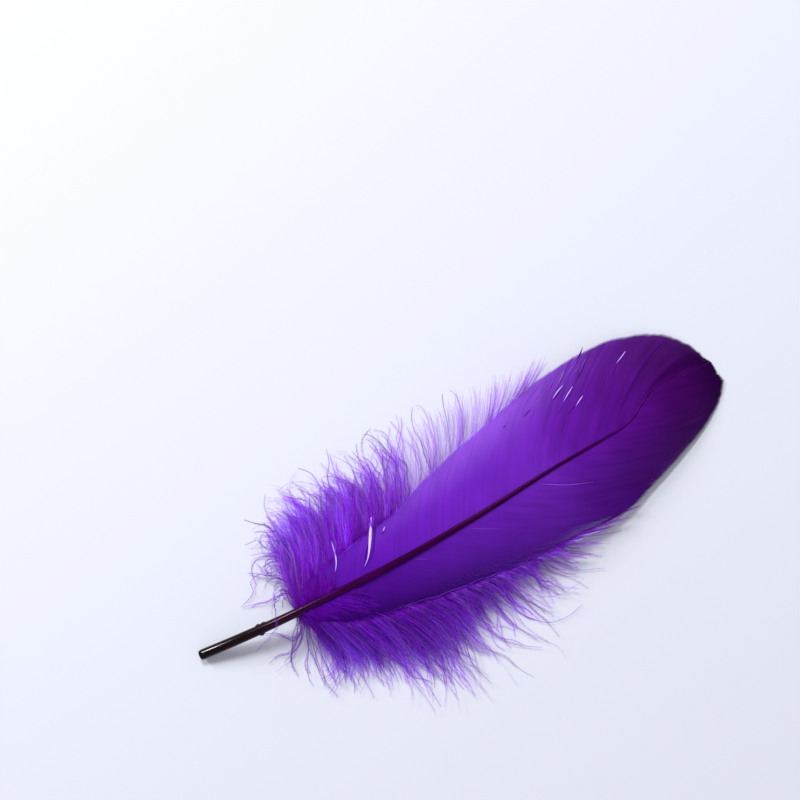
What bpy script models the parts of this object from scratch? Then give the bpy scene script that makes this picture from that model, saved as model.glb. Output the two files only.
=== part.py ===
# A goose quill feather that lies on a flat surface, outer side up.
# It grew as one piece: a tapered quill that runs on as the shaft, a closed vane of
# slanting barbs on each side, and loose downy locks round the base and the edges.
# Metres, +Z up. +X runs from the quill's end to the tip, +Y to the broad vane's side.

import math
import random
from bisect import bisect_right

import bmesh
import bpy
from mathutils import Vector

MM = 0.001

# Driving dimensions, in millimetres. Along is counted from the quill's end,
# side from the straight line between the quill's end and the tip.
LENGTH = 180.0
SIDE_CENTRE = -7.9          # middle of the feather's whole width, from that line
ARCH_HEIGHT = 12.6          # how far the shaft bows off the surface at mid length
VANE_THICK = 0.5
VANE_RIPPLE = 0.09          # height of the ridges that run with the barbs
CAMBER_POWER = 1.7          # 1 is a flat roof, more keeps the vane level near the shaft
TIP_CLEAR = 0.36            # height of the vane's middle where it lies on the surface

QUILL_RADII = [(0.0, 1.62), (15.0, 1.56), (31.0, 1.38), (62.0, 1.14), (92.0, 0.84),
               (123.0, 0.56), (144.0, 0.42), (158.0, 0.33), (175.0, 0.26)]
QUILL_CHAMFER = 0.5
QUILL_RINGS = 30
QUILL_SIDES = 10
QUILL_END = 175.0           # where the shaft runs out inside the tip

# The shaft's path seen from above: (along, side). It is straight, then kinks near the tip.
SHAFT_PATH = [(0.0, -0.4), (16.0, -1.4), (31.6, -2.0), (62.0, -2.4), (92.4, -1.2), (122.8, 1.1),
              (144.0, 2.0), (148.5, 2.9), (153.2, 5.2), (158.4, 7.8), (163.0, 8.6), (178.0, 7.2)]

# Guide barbs: (where the barb leaves the shaft, its end's along, its end's side, its end's height).
BROAD_BARBS = [(34.0, 40.0, 4.5, 7.8), (42.0, 50.0, 7.0, 7.4), (52.0, 61.0, 9.2, 7.2),
               (62.0, 73.0, 11.4, 7.0), (72.0, 85.0, 16.0, 6.6), (92.4, 111.0, 22.6, 5.6),
               (105.0, 128.0, 26.4, 4.8), (117.0, 143.0, 27.9, 3.9), (125.0, 152.0, 27.7, 3.0),
               (132.0, 161.0, 25.7, 2.2), (138.0, 168.0, 22.4, 1.5), (143.0, 172.2, 19.4, 0.9),
               (148.0, 175.2, 15.3, 0.6), (155.0, 177.0, 12.2, 0.4), (164.0, 177.8, 9.6, 0.36),
               (177.4, 178.6, 7.7, 0.36)]
NARROW_BARBS = [(34.0, 38.0, -7.5, 7.4), (37.0, 48.0, -13.0, 6.2), (42.0, 62.0, -16.3, 5.6),
                (50.0, 78.0, -18.4, 5.4), (62.0, 96.0, -20.1, 5.2), (77.0, 115.0, -21.3, 5.2),
                (92.0, 133.0, -21.5, 4.2), (107.0, 147.5, -17.7, 2.6), (122.0, 159.5, -13.4, 1.5),
                (134.0, 168.4, -9.7, 0.8), (143.0, 174.0, -6.3, 0.5), (151.0, 177.8, -2.8, 0.36),
                (158.0, 180.0, 0.5, 0.36), (166.0, 179.5, 4.0, 0.36), (177.4, 178.9, 6.7, 0.36)]
BARB_BULGE = 0.07           # how far a barb bows towards the quill, as a share of its chord
BARB_COLUMNS = 50
BARB_ROWS = 5

# The vane's end is creased along one barb: the outer part past it lies lower.
CREASE_ROOT = 141.0
CREASE_DROP = 0.5
CREASE_WIDTH = 2.0          # distance along the shaft over which the drop sets in

# Splits in the broad vane: (start along, side, end along, side, width at the open end).
SPLITS = [(57.0, 1.0, 67.5, 14.5, 1.3), (48.3, 3.0, 54.0, 10.5, 0.8),
          (166.5, 17.4, 174.0, 20.2, 0.9)]
SPLIT_BARBS = [(54.0, 60.0), (46.5, 49.0)]      # no lock grows from the barbs beside a split

# Guide locks: (barb it grows on, share of that barb, tip's along, tip's side, leaving angle).
# The angle is from the shaft's direction; locks fan from the quill towards the tip.
BROAD_LOCKS = [(31.0, 0.0, 19.0, 10.6, 112.0), (31.5, 0.0, 22.5, 18.2, 106.0),
               (32.0, 0.0, 28.0, 24.5, 96.0), (33.0, 0.1, 35.0, 29.0, 86.0),
               (36.0, 0.4, 44.0, 32.0, 76.0), (42.0, 0.6, 56.0, 34.0, 70.0),
               (50.0, 0.7, 68.0, 35.4, 65.0), (58.0, 0.75, 80.0, 36.0, 60.0),
               (68.0, 0.8, 92.4, 36.5, 58.0), (76.0, 0.86, 101.0, 35.8, 55.0),
               (83.0, 0.9, 110.0, 33.6, 50.0), (91.0, 0.92, 119.0, 32.4, 44.0),
               (98.0, 0.95, 128.0, 31.0, 38.0), (105.0, 0.96, 138.0, 29.3, 32.0)]
NARROW_LOCKS = [(31.0, 0.0, 18.0, -10.6, 112.0), (31.5, 0.0, 22.5, -18.4, 106.0),
                (32.0, 0.0, 27.0, -26.0, 98.0), (32.5, 0.0, 32.5, -31.0, 88.0),
                (34.0, 0.2, 41.0, -33.5, 78.0), (36.0, 0.4, 49.0, -38.0, 66.0),
                (38.0, 0.5, 56.5, -46.0, 58.0), (41.0, 0.6, 63.5, -51.8, 52.0),
                (44.0, 0.65, 72.0, -52.3, 48.0), (48.0, 0.7, 82.0, -51.6, 45.0),
                (54.0, 0.75, 92.4, -48.5, 42.0), (60.0, 0.8, 100.0, -46.0, 38.0),
                (66.0, 0.86, 108.0, -40.5, 33.0), (71.0, 0.88, 116.0, -34.5, 28.0),
                (77.0, 0.9, 124.0, -28.5, 24.0), (83.0, 0.93, 133.0, -24.5, 20.0)]
BROAD_LOCK_COUNT = 30
NARROW_LOCK_COUNT = 40
LOCK_RINGS = 6
LOCK_SIDES = 4
LOCK_WIDTH = 2.0            # half of a lock's width where it is broadest
LOCK_THICK = 0.8
LOCK_THINNING = 0.55        # how much slimmer the last locks of the fan are, as a share
LOCK_FULLNESS = 0.68        # 1 is broadest in the middle, less is broadest nearer the root
LOCK_TAPER = 0.8            # 1 thins steadily to both points, less keeps the lock fuller
LOCK_SIZES = (0.8, 1.1)     # smallest and largest lock, as a share of the width and thickness
LOCK_ON_SHAFT = 0.02        # locks rooted on less than this share of a barb grow from the shaft
LOCK_BEND = 0.5             # how far along its leaving angle a lock bends, as a share of its reach
LOCK_TIP_HEIGHT = 0.25
LOCK_DOWN_BY = 0.9          # share of a lock's length by which it has come down to its tip's height
LOCK_FULL_EVERY = 3         # every third lock reaches the outline
LOCK_SHORTER = (0.08, 0.26)  # how far the others fall short of it, as a share
LOCK_LIFT_FROM = 0.72       # locks past this share of the fan stay up with the vane's edge
LOCK_LIFTED = 0.55          # height kept by the last of them, as a share of the height they leave at
LOCK_STAGGER = 1.4          # most that a lock's root is moved along the shaft from its place
LOCK_STAGGER_RISE = -0.22   # and how much lower it then starts, for each millimetre moved

# Crusty specks on the quill: (along, angle round the quill from its top, radius).
QUILL_SPECKS = [(20.2, 40.0, 0.62), (21.6, -62.0, 0.75), (19.3, -20.0, 0.4)]
SPECK_OUT = 0.9             # a speck's middle, as a share of the quill's radius

VIOLET = (0.13, 0.03, 0.42, 1.0)
ROUGHNESS = 0.55
SEED = 12


def clear_scene():
    for old in list(bpy.data.objects):
        bpy.data.objects.remove(old, do_unlink=True)


def smooth_value(knots, at, column=1):
    # a cubic through the knots that never swings past them
    xs = [knot[0] for knot in knots]
    ys = [knot[column] for knot in knots]
    slopes = [(ys[i + 1] - ys[i]) / (xs[i + 1] - xs[i]) for i in range(len(xs) - 1)]
    tangents = [slopes[0]]
    for before, after in zip(slopes, slopes[1:]):
        same_way = before * after > 0.0
        tangents.append(2.0 * before * after / (before + after) if same_way else 0.0)
    tangents.append(slopes[-1])
    i = min(max(bisect_right(xs, at) - 1, 0), len(xs) - 2)
    span = xs[i + 1] - xs[i]
    t = min(max((at - xs[i]) / span, 0.0), 1.0)
    start = (1.0 + 2.0 * t) * (1.0 - t) ** 2 * ys[i] + t * (1.0 - t) ** 2 * span * tangents[i]
    end = t * t * (3.0 - 2.0 * t) * ys[i + 1] - t * t * (1.0 - t) * span * tangents[i + 1]
    return start + end


def smooth_step(t):
    t = min(max(t, 0.0), 1.0)
    return t * t * (3.0 - 2.0 * t)


def shaft_point(along):
    share = along / LENGTH
    arch = 4.0 * ARCH_HEIGHT * share * (1.0 - share)
    foot = QUILL_RADII[0][1] * (1.0 - share) + TIP_CLEAR * share
    return Vector((along, smooth_value(SHAFT_PATH, along), foot + arch))


def bent_point(start, bend, end, t):
    return start * (1.0 - t) ** 2 + bend * 2.0 * t * (1.0 - t) + end * t * t


def barb_point(guides, root, share):
    # a barb bows in plan, and its height falls off faster towards the vane's edge
    start = shaft_point(root)
    end = Vector([smooth_value(guides, root, column) for column in (1, 2, 3)])
    chord = end - start
    outward = 1.0 if guides is BROAD_BARBS else -1.0
    bow = Vector((-abs(chord.y), outward * chord.x, 0.0)) * BARB_BULGE * 2.0
    point = bent_point(start, (start + end) / 2.0 + bow, end, share)
    fall = share ** CAMBER_POWER
    past_crease = smooth_step((root - CREASE_ROOT) / CREASE_WIDTH) if outward > 0.0 else 0.0
    drop = CREASE_DROP * past_crease * math.sin(math.pi * min(share, 1.0))
    point.z = start.z + (end.z - start.z) * fall - drop
    return point


def mesh_object(name, bm, material):
    bmesh.ops.recalc_face_normals(bm, faces=bm.faces[:])
    mesh = bpy.data.meshes.new(name)
    bm.to_mesh(mesh)
    bm.free()
    mesh.materials.append(material)
    thing = bpy.data.objects.new(name, mesh)
    bpy.context.scene.collection.objects.link(thing)
    return thing


def loft(bm, rings):
    # skins a row of rings into one closed body; a ring of one point is a tip
    rows = [[bm.verts.new(point * MM) for point in ring] for ring in rings]
    for low, high in zip(rows, rows[1:]):
        count = max(len(low), len(high))
        for i in range(count):
            j = (i + 1) % count
            if len(low) == 1:
                bm.faces.new((low[0], high[j], high[i]))
            elif len(high) == 1:
                bm.faces.new((low[i], low[j], high[0]))
            else:
                bm.faces.new((low[i], low[j], high[j], high[i]))
    for cap in (rows[0], rows[-1]):
        if len(cap) > 2:
            bm.faces.new(cap)


def ring_round(centre, forward, width, height, sides, turn=0.0):
    side = Vector((-forward.y, forward.x, 0.0)).normalized()
    up = forward.cross(side).normalized()
    points = []
    for i in range(sides):
        angle = math.tau * i / sides + turn
        points.append(centre + side * math.cos(angle) * width + up * math.sin(angle) * height)
    return points


def make_quill(material):
    bm = bmesh.new()
    rings = []
    for i in range(QUILL_RINGS):
        along = QUILL_END * i / (QUILL_RINGS - 1)
        forward = (shaft_point(along + 0.5) - shaft_point(along - 0.5)).normalized()
        radius = smooth_value(QUILL_RADII, along)
        if i == 0:
            blunt = radius - QUILL_CHAMFER
            rings.append(ring_round(shaft_point(along), forward, blunt, blunt, QUILL_SIDES))
            along = QUILL_CHAMFER
        rings.append(ring_round(shaft_point(along), forward, radius, radius, QUILL_SIDES))
    loft(bm, rings)
    return mesh_object("feather", bm, material)


def make_vane(material):
    # one plate across both vanes, with every column on a pair of barbs and the shaft between
    bm = bmesh.new()
    top = []
    bottom = []
    first, last = BROAD_BARBS[0][0], BROAD_BARBS[-1][0]
    for i in range(BARB_COLUMNS):
        root = first + (last - first) * i / (BARB_COLUMNS - 1)
        ripple = VANE_RIPPLE * (1 if i % 2 else -1)
        spine = [barb_point(NARROW_BARBS, root, row / BARB_ROWS) for row in range(BARB_ROWS, 0, -1)]
        spine += [barb_point(BROAD_BARBS, root, row / BARB_ROWS) for row in range(BARB_ROWS + 1)]
        half = Vector((0.0, 0.0, VANE_THICK / 2.0))
        lift = Vector((0.0, 0.0, ripple))
        top.append([bm.verts.new((point + lift + half) * MM) for point in spine])
        bottom.append([bm.verts.new((point + lift - half) * MM) for point in spine])
    wide = len(top[0])
    for i in range(BARB_COLUMNS - 1):
        for j in range(wide - 1):
            # both faces of the plate are parted along the same diagonal, so they stay apart
            for side in (top, bottom):
                bm.faces.new((side[i][j], side[i + 1][j], side[i + 1][j + 1]))
                bm.faces.new((side[i][j], side[i + 1][j + 1], side[i][j + 1]))
        for j in (0, wide - 1):
            bm.faces.new((top[i][j], bottom[i][j], bottom[i + 1][j], top[i + 1][j]))
    for j in range(wide - 1):
        for i in (0, BARB_COLUMNS - 1):
            bm.faces.new((top[i][j], bottom[i][j], bottom[i][j + 1], top[i][j + 1]))
    return mesh_object("vane_plate", bm, material)


def make_split_cutter(index, split, material):
    # a tall wedge: sharp where the split starts, as wide as the split at the vane's edge
    start = Vector((split[0], split[1], 0.0))
    end = Vector((split[2], split[3], 0.0))
    along = (end - start).normalized()
    across = Vector((-along.y, along.x, 0.0)) * split[4] / 2.0
    corners = [start, end + across, end - across]
    bm = bmesh.new()
    tall = Vector((0.0, 0.0, 2.0 * ARCH_HEIGHT))
    loft(bm, [[corner - tall for corner in corners], [corner + tall for corner in corners]])
    return mesh_object(f"split_cutter_{index}", bm, material)


def lock_path(guides, barbs, fan, shorter, stagger):
    # from inside the vane, out over its edge and down to the surface
    steps = len(guides) - 1
    knots = [(i / steps,) + guide for i, guide in enumerate(guides)]
    root, share, tip_along, tip_side, angle = [smooth_value(knots, fan, c) for c in range(1, 6)]
    on_shaft = share <= LOCK_ON_SHAFT
    outward = 1.0 if barbs is BROAD_BARBS else -1.0
    for low, high in SPLIT_BARBS:
        if outward > 0.0 and low < root < high:
            root = low if root - low < high - root else high
    root = stagger + (root if on_shaft else max(root, barbs[0][0]))
    start = shaft_point(root) if on_shaft else barb_point(barbs, root, share)
    start.z += stagger * LOCK_STAGGER_RISE
    held_up = smooth_step((fan - LOCK_LIFT_FROM) / (1.0 - LOCK_LIFT_FROM))
    tip_height = LOCK_TIP_HEIGHT + LOCK_LIFTED * start.z * held_up
    tip = Vector((tip_along, tip_side, tip_height))
    tip = start + (tip - start) * (1.0 - shorter)
    tip.z = tip_height
    reach = math.hypot(tip.x - start.x, tip.y - start.y)
    lead = math.radians(angle)
    bend = start + Vector((math.cos(lead), outward * math.sin(lead), 0.0)) * reach * LOCK_BEND
    path = []
    for i in range(LOCK_RINGS + 1):
        t = i / LOCK_RINGS
        point = bent_point(start, bend, tip, t)
        point.z = start.z + (tip_height - start.z) * smooth_step(t / LOCK_DOWN_BY)
        path.append(point)
    return path


def make_lock(name, path, size, material):
    # a spindle, broadest before the middle and pointed at both ends
    rings = [[path[0]]]
    for i in range(1, LOCK_RINGS):
        t = i / LOCK_RINGS
        forward = (path[i + 1] - path[i - 1]).normalized()
        body = size * math.sin(math.pi * t ** LOCK_FULLNESS) ** LOCK_TAPER
        rings.append(ring_round(path[i], forward, LOCK_WIDTH * body, LOCK_THICK * body, LOCK_SIDES))
    rings.append([path[-1]])
    bm = bmesh.new()
    loft(bm, rings)
    return mesh_object(name, bm, material)


def make_locks(material):
    chance = random.Random(SEED)
    locks = []
    for guides, barbs, count in ((BROAD_LOCKS, BROAD_BARBS, BROAD_LOCK_COUNT),
                                 (NARROW_LOCKS, NARROW_BARBS, NARROW_LOCK_COUNT)):
        for i in range(count):
            shorter = 0.0 if i % LOCK_FULL_EVERY == 0 else chance.uniform(*LOCK_SHORTER)
            stagger = chance.uniform(0.0, LOCK_STAGGER)
            fan = i / (count - 1)
            size = chance.uniform(*LOCK_SIZES) * (1.0 - LOCK_THINNING * smooth_step(2.0 * fan - 1.0))
            path = lock_path(guides, barbs, fan, shorter, stagger)
            locks.append(make_lock(f"lock_{len(locks)}", path, size, material))
    return locks


def make_specks(material):
    specks = []
    for along, angle, radius in QUILL_SPECKS:
        turn = math.radians(angle)
        middle = smooth_value(QUILL_RADII, along) * SPECK_OUT
        out = Vector((0.0, math.sin(turn), math.cos(turn))) * middle
        bm = bmesh.new()
        bmesh.ops.create_icosphere(bm, subdivisions=1, radius=radius * MM)
        bmesh.ops.translate(bm, verts=bm.verts[:], vec=(shaft_point(along) + out) * MM)
        specks.append(mesh_object(f"speck_{len(specks)}", bm, material))
    return specks


def feather_material():
    material = bpy.data.materials.new("violet_keratin")
    material.use_nodes = True
    shader = material.node_tree.nodes["Principled BSDF"]
    shader.inputs["Base Color"].default_value = VIOLET
    shader.inputs["Roughness"].default_value = ROUGHNESS
    shader.inputs["Metallic"].default_value = 0.0
    return material


def combine(base, parts, name, operation):
    # the helpers stay in their own hidden group, which the Boolean reads
    group = bpy.data.collections.new(name)
    bpy.context.scene.collection.children.link(group)
    for part in parts:
        bpy.context.scene.collection.objects.unlink(part)
        group.objects.link(part)
        part.hide_render = True
        part.display_type = "WIRE"
    step = base.modifiers.new(name, "BOOLEAN")
    step.operation = operation
    step.operand_type = "COLLECTION"
    step.collection = group
    step.solver = "EXACT"


def build_feather():
    clear_scene()
    material = feather_material()
    feather = make_quill(material)
    vane = make_vane(material)
    cutters = [make_split_cutter(i, split, material) for i, split in enumerate(SPLITS)]
    combine(vane, cutters, "splits", "DIFFERENCE")
    combine(feather, [vane] + make_locks(material) + make_specks(material), "grown_on", "UNION")
    centre = bpy.data.objects.new("feather_frame", None)
    bpy.context.scene.collection.objects.link(centre)
    for thing in bpy.data.objects:
        if thing != centre:
            thing.parent = centre
    centre.location = (-LENGTH / 2.0 * MM, -SIDE_CENTRE * MM, 0.0)


build_feather()
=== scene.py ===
import math

import bpy
import numpy as np
from mathutils import Matrix, Quaternion, Vector


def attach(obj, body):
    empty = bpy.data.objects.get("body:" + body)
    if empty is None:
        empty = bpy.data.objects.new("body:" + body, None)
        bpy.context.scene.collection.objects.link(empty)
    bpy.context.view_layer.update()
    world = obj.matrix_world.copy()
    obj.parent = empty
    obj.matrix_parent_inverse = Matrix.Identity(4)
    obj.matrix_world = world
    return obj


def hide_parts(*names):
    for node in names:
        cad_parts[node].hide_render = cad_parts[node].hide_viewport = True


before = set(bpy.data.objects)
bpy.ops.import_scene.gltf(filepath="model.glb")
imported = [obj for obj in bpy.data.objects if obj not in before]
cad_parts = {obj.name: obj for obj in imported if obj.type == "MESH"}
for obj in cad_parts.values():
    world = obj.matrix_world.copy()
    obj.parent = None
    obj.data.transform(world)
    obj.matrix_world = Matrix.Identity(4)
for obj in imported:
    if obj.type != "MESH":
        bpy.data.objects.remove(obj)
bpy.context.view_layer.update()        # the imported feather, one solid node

print("frame loaded:", sorted(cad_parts))

# Places are in millimetres: along from the quill's end, side from the straight line
# between that end and the tip (plus is the broad vane's side), and height from the floor.
mm = 0.001
lie = {
    "length": 180.0,
    "sideCentre": -7.9,      # middle of the feather's whole width
    "archHeight": 12.6,      # how far the shaft bows off the floor
    "tipHeight": 0.36,
    "camberPower": 1.7,      # 1 is a flat roof, more keeps the vane level near the shaft
    "bulge": 0.07,           # how far a barb bows towards the quill, as a share of its chord
    "clearance": 0.02,       # the least height above the floor
}

# the shaft seen from above: straight, then a kink near the tip
shaftPath = [(0.0, -0.4), (16.0, -1.4), (31.6, -2.0), (62.0, -2.4), (92.4, -1.2), (122.8, 1.1),
             (144.0, 2.0), (148.5, 2.9), (153.2, 5.2), (158.4, 7.8), (163.0, 8.6), (178.0, 7.2)]
shaftRadii = [(0.0, 1.62), (15.0, 1.56), (31.0, 1.38), (62.0, 1.14), (92.0, 0.84),
              (123.0, 0.56), (144.0, 0.42), (158.0, 0.30), (169.0, 0.16), (177.0, 0.08)]

# guide barbs of each vane: (root on the shaft, end's along, end's side, end's height)
broadBarbs = [(34.0, 40.0, 4.5, 7.8), (42.0, 50.0, 7.0, 7.4), (52.0, 61.0, 9.2, 7.2),
              (62.0, 73.0, 11.4, 7.0), (72.0, 85.0, 16.0, 6.6), (92.4, 111.0, 22.6, 5.6),
              (105.0, 128.0, 26.4, 4.8), (117.0, 143.0, 27.9, 3.9), (125.0, 152.0, 27.7, 3.0),
              (132.0, 161.0, 25.7, 2.2), (138.0, 168.0, 22.4, 1.5), (143.0, 172.2, 19.4, 0.9),
              (148.0, 175.2, 15.3, 0.6), (155.0, 177.0, 12.2, 0.4), (164.0, 177.8, 9.6, 0.36),
              (177.6, 179.2, 7.2, 0.36)]
narrowBarbs = [(34.0, 38.0, -7.5, 7.4), (37.0, 48.0, -13.0, 6.2), (42.0, 62.0, -16.3, 5.6),
               (50.0, 78.0, -18.4, 5.4), (62.0, 96.0, -20.1, 5.2), (77.0, 115.0, -21.3, 5.2),
               (92.0, 133.0, -21.5, 3.4), (107.0, 147.5, -17.7, 2.1), (122.0, 159.5, -13.4, 1.5),
               (134.0, 168.4, -9.7, 0.8), (143.0, 174.0, -6.3, 0.5), (151.0, 177.8, -2.8, 0.36),
               (158.0, 180.0, 0.5, 0.36), (166.0, 179.5, 4.0, 0.36), (177.6, 179.2, 7.2, 0.36)]


def through(knots, at, column=1):
    # a smooth curve through given knots that never swings past them
    rows = np.asarray(knots, float)
    xs, ys = rows[:, 0], rows[:, column]
    slopes = np.diff(ys) / np.diff(xs)
    product, total = slopes[:-1] * slopes[1:], slopes[:-1] + slopes[1:]
    inner = np.where(product > 0, 2 * product / np.where(total == 0, 1, total), 0)
    tangents = np.concatenate([slopes[:1], inner, slopes[-1:]])
    at = np.clip(np.asarray(at, float), xs[0], xs[-1])
    i = np.clip(np.searchsorted(xs, at, side="right") - 1, 0, len(xs) - 2)
    span = xs[i + 1] - xs[i]
    t = (at - xs[i]) / span
    start = (1 + 2 * t) * (1 - t) ** 2 * ys[i] + t * (1 - t) ** 2 * span * tangents[i]
    end = t * t * (3 - 2 * t) * ys[i + 1] - t * t * (1 - t) * span * tangents[i + 1]
    return start + end


def easeIn(t):
    t = np.clip(t, 0, 1)
    return t * t * (3 - 2 * t)


def unit(vectors):
    return vectors / np.maximum(np.linalg.norm(vectors, axis=-1, keepdims=True), 1e-9)


def shaftSpots(along):
    share = along / lie["length"]
    foot = shaftRadii[0][1] * (1 - share) + lie["tipHeight"] * share
    height = foot + 4 * lie["archHeight"] * share * (1 - share)
    return np.stack([along, through(shaftPath, along), height], axis=-1)


def barbSpots(guides, roots, shares):
    # places along the barbs that leave the shaft at roots; both arrays spread to one shape
    roots, shares = np.broadcast_arrays(roots, shares)
    start = shaftSpots(roots)
    end = np.stack([through(guides, roots, column) for column in (1, 2, 3)], axis=-1)
    chord = end - start
    outward = 1.0 if guides is broadBarbs else -1.0
    bow = np.stack([-np.abs(chord[..., 1]), outward * chord[..., 0], 0 * roots], axis=-1)
    bend = (start + end) / 2 + bow * lie["bulge"] * 2
    t = shares[..., None]
    spots = start * (1 - t) ** 2 + bend * 2 * t * (1 - t) + end * t * t
    spots[..., 2] = start[..., 2] + chord[..., 2] * shares ** lie["camberPower"]
    return spots


def makePiece(name, points, faces, finish, marks=None, sharpAngle=None):
    # faces is a list of whole-number arrays with one face in each row
    corners = np.concatenate([part.ravel() for part in faces]).astype(np.int32)
    sizes = np.concatenate([np.full(len(part), part.shape[1]) for part in faces])
    starts = np.concatenate([[0], np.cumsum(sizes)[:-1]]).astype(np.int32)
    places = points.reshape(-1, 3) * mm
    places = places - np.array([lie["length"] / 2, lie["sideCentre"], 0.0]) * mm
    mesh = bpy.data.meshes.new(name)
    mesh.vertices.add(len(places))
    mesh.vertices.foreach_set("co", places.ravel())
    mesh.loops.add(len(corners))
    mesh.loops.foreach_set("vertex_index", corners)
    mesh.polygons.add(len(sizes))
    mesh.polygons.foreach_set("loop_start", starts)
    mesh.update(calc_edges=True)
    mesh.shade_smooth()
    if sharpAngle:
        mesh.set_sharp_from_angle(angle=math.radians(sharpAngle))
    for mark, values in (marks or {}).items():
        stored = mesh.attributes.new(mark, "FLOAT", "POINT").data
        stored.foreach_set("value", values.ravel().astype(np.float32))
    mesh.materials.append(finish)
    piece = bpy.data.objects.new(name, mesh)
    bpy.context.scene.collection.objects.link(piece)
    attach(piece, "root")
    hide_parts("feather")
    print(f"{name}: {int((sizes - 2).sum())} triangles")


def tubeFaces(count, rings, sides, first=0):
    # the walls of many tubes whose rings are stored one after another
    tube, ring, side = np.meshgrid(np.arange(count), np.arange(rings - 1), np.arange(sides), indexing="ij")
    base = first + (tube * rings + ring) * sides
    after = (side + 1) % sides
    walls = np.stack([base + side, base + after, base + sides + after, base + sides + side], axis=-1)
    return walls.reshape(-1, 4)


def capFaces(count, rings, sides, first=0):
    # both ends of each tube, facing outwards
    start = first + np.arange(count)[:, None] * rings * sides + np.arange(sides)[None, ::-1]
    end = first + (np.arange(count)[:, None] * rings + rings - 1) * sides + np.arange(sides)[None, :]
    return [start, end]


# Finishes

noiseSpan = (0.3, 0.7)       # most of a noise texture's values lie between these


def nodesOf(material):
    material.use_nodes = True
    return material.node_tree.nodes, material.node_tree.links


def addNode(nodes, kind, **settings):
    node = nodes.new(kind)
    for key, value in settings.items():
        setattr(node, key, value)
    return node


def markValue(nodes, name):
    return addNode(nodes, "ShaderNodeAttribute", attribute_name=name).outputs["Fac"]


def rampOf(nodes, links, source, stops):
    ramp = nodes.new("ShaderNodeValToRGB")
    ramp.color_ramp.interpolation = "EASE"
    while len(ramp.color_ramp.elements) < len(stops):
        ramp.color_ramp.elements.new(0.5)
    for element, (position, colour) in zip(ramp.color_ramp.elements, stops):
        element.position = position
        element.color = (*colour, 1.0)
    links.new(source, ramp.inputs["Fac"])
    return ramp.outputs["Color"]


def rescaled(nodes, links, source, fromLow, fromHigh, toLow, toHigh):
    node = nodes.new("ShaderNodeMapRange")
    for key, value in (("From Min", fromLow), ("From Max", fromHigh), ("To Min", toLow), ("To Max", toHigh)):
        node.inputs[key].default_value = value
    links.new(source, node.inputs["Value"])
    return node.outputs["Result"]


def mathOf(nodes, links, kind, a, b):
    node = addNode(nodes, "ShaderNodeMath", operation=kind)
    for socket, value in zip(node.inputs, (a, b)):
        if isinstance(value, (int, float)):
            socket.default_value = value
        else:
            links.new(value, socket)
    return node.outputs["Value"]


def mixedColour(nodes, links, amount, first, second):
    mix = addNode(nodes, "ShaderNodeMix", data_type="RGBA")
    links.new(amount, mix.inputs["Factor"])
    links.new(first, mix.inputs["A"])
    mix.inputs["B"].default_value = (*second, 1.0)
    return mix.outputs["Result"]


def timesValue(nodes, links, colour, value):
    # a colour made lighter or darker by a number
    node = addNode(nodes, "ShaderNodeVectorMath", operation="SCALE")
    links.new(colour, node.inputs[0])
    links.new(value, node.inputs["Scale"])
    return node.outputs["Vector"]


def objectPlace(nodes, links, scale=(1.0, 1.0, 1.0)):
    place = nodes.new("ShaderNodeTexCoord")
    mapping = nodes.new("ShaderNodeMapping")
    mapping.inputs["Scale"].default_value = scale
    links.new(place.outputs["Object"], mapping.inputs["Vector"])
    return mapping.outputs["Vector"]


def noiseOf(nodes, links, vector, scale, detail=2.0):
    noise = nodes.new("ShaderNodeTexNoise")
    noise.inputs["Scale"].default_value = scale
    noise.inputs["Detail"].default_value = detail
    links.new(vector, noise.inputs["Vector"])
    return noise.outputs["Fac"]


def alongValue(nodes, links):
    # 0 at the quill's end and 1 at the feather's tip
    split = nodes.new("ShaderNodeSeparateXYZ")
    links.new(objectPlace(nodes, links), split.inputs["Vector"])
    half = lie["length"] / 2 * mm
    return rescaled(nodes, links, split.outputs["X"], -half, half, 0.0, 1.0)


def webbedFinish(name, look):
    # thin dyed barbs: paler where the pale mark says, and some light passes through
    material = bpy.data.materials.new(name)
    nodes, links = nodesOf(material)
    shader = nodes["Principled BSDF"]
    strong = rampOf(nodes, links, alongValue(nodes, links), look["alongColours"])
    # the pale colour is thinner dye on the down, painted highlight on the vanes and pale slits, and painted
    # shade on the dark slits
    colour = mixedColour(nodes, links, markValue(nodes, "pale"), strong, look["paleColour"])
    # the tone mark also carries the painted shade at the down's roots
    tone = rescaled(nodes, links, markValue(nodes, "tone"), 0.0, 1.0, *look["toneRange"])
    blotch = noiseOf(nodes, links, objectPlace(nodes, links), look["blotchScale"])
    cloud = rescaled(nodes, links, blotch, *noiseSpan, *look["blotchRange"])
    dyed = timesValue(nodes, links, colour, mathOf(nodes, links, "MULTIPLY", tone, cloud))
    links.new(dyed, shader.inputs["Base Color"])
    shader.inputs["Roughness"].default_value = look["roughness"]
    shader.inputs["Specular IOR Level"].default_value = look["specular"]
    glow = nodes.new("ShaderNodeBsdfTranslucent")
    links.new(dyed, glow.inputs["Color"])
    mix = nodes.new("ShaderNodeMixShader")
    mix.inputs["Fac"].default_value = look["letThrough"]
    links.new(shader.outputs["BSDF"], mix.inputs[1])
    links.new(glow.outputs["BSDF"], mix.inputs[2])
    links.new(mix.outputs["Shader"], nodes["Material Output"].inputs["Surface"])
    return material


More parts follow.
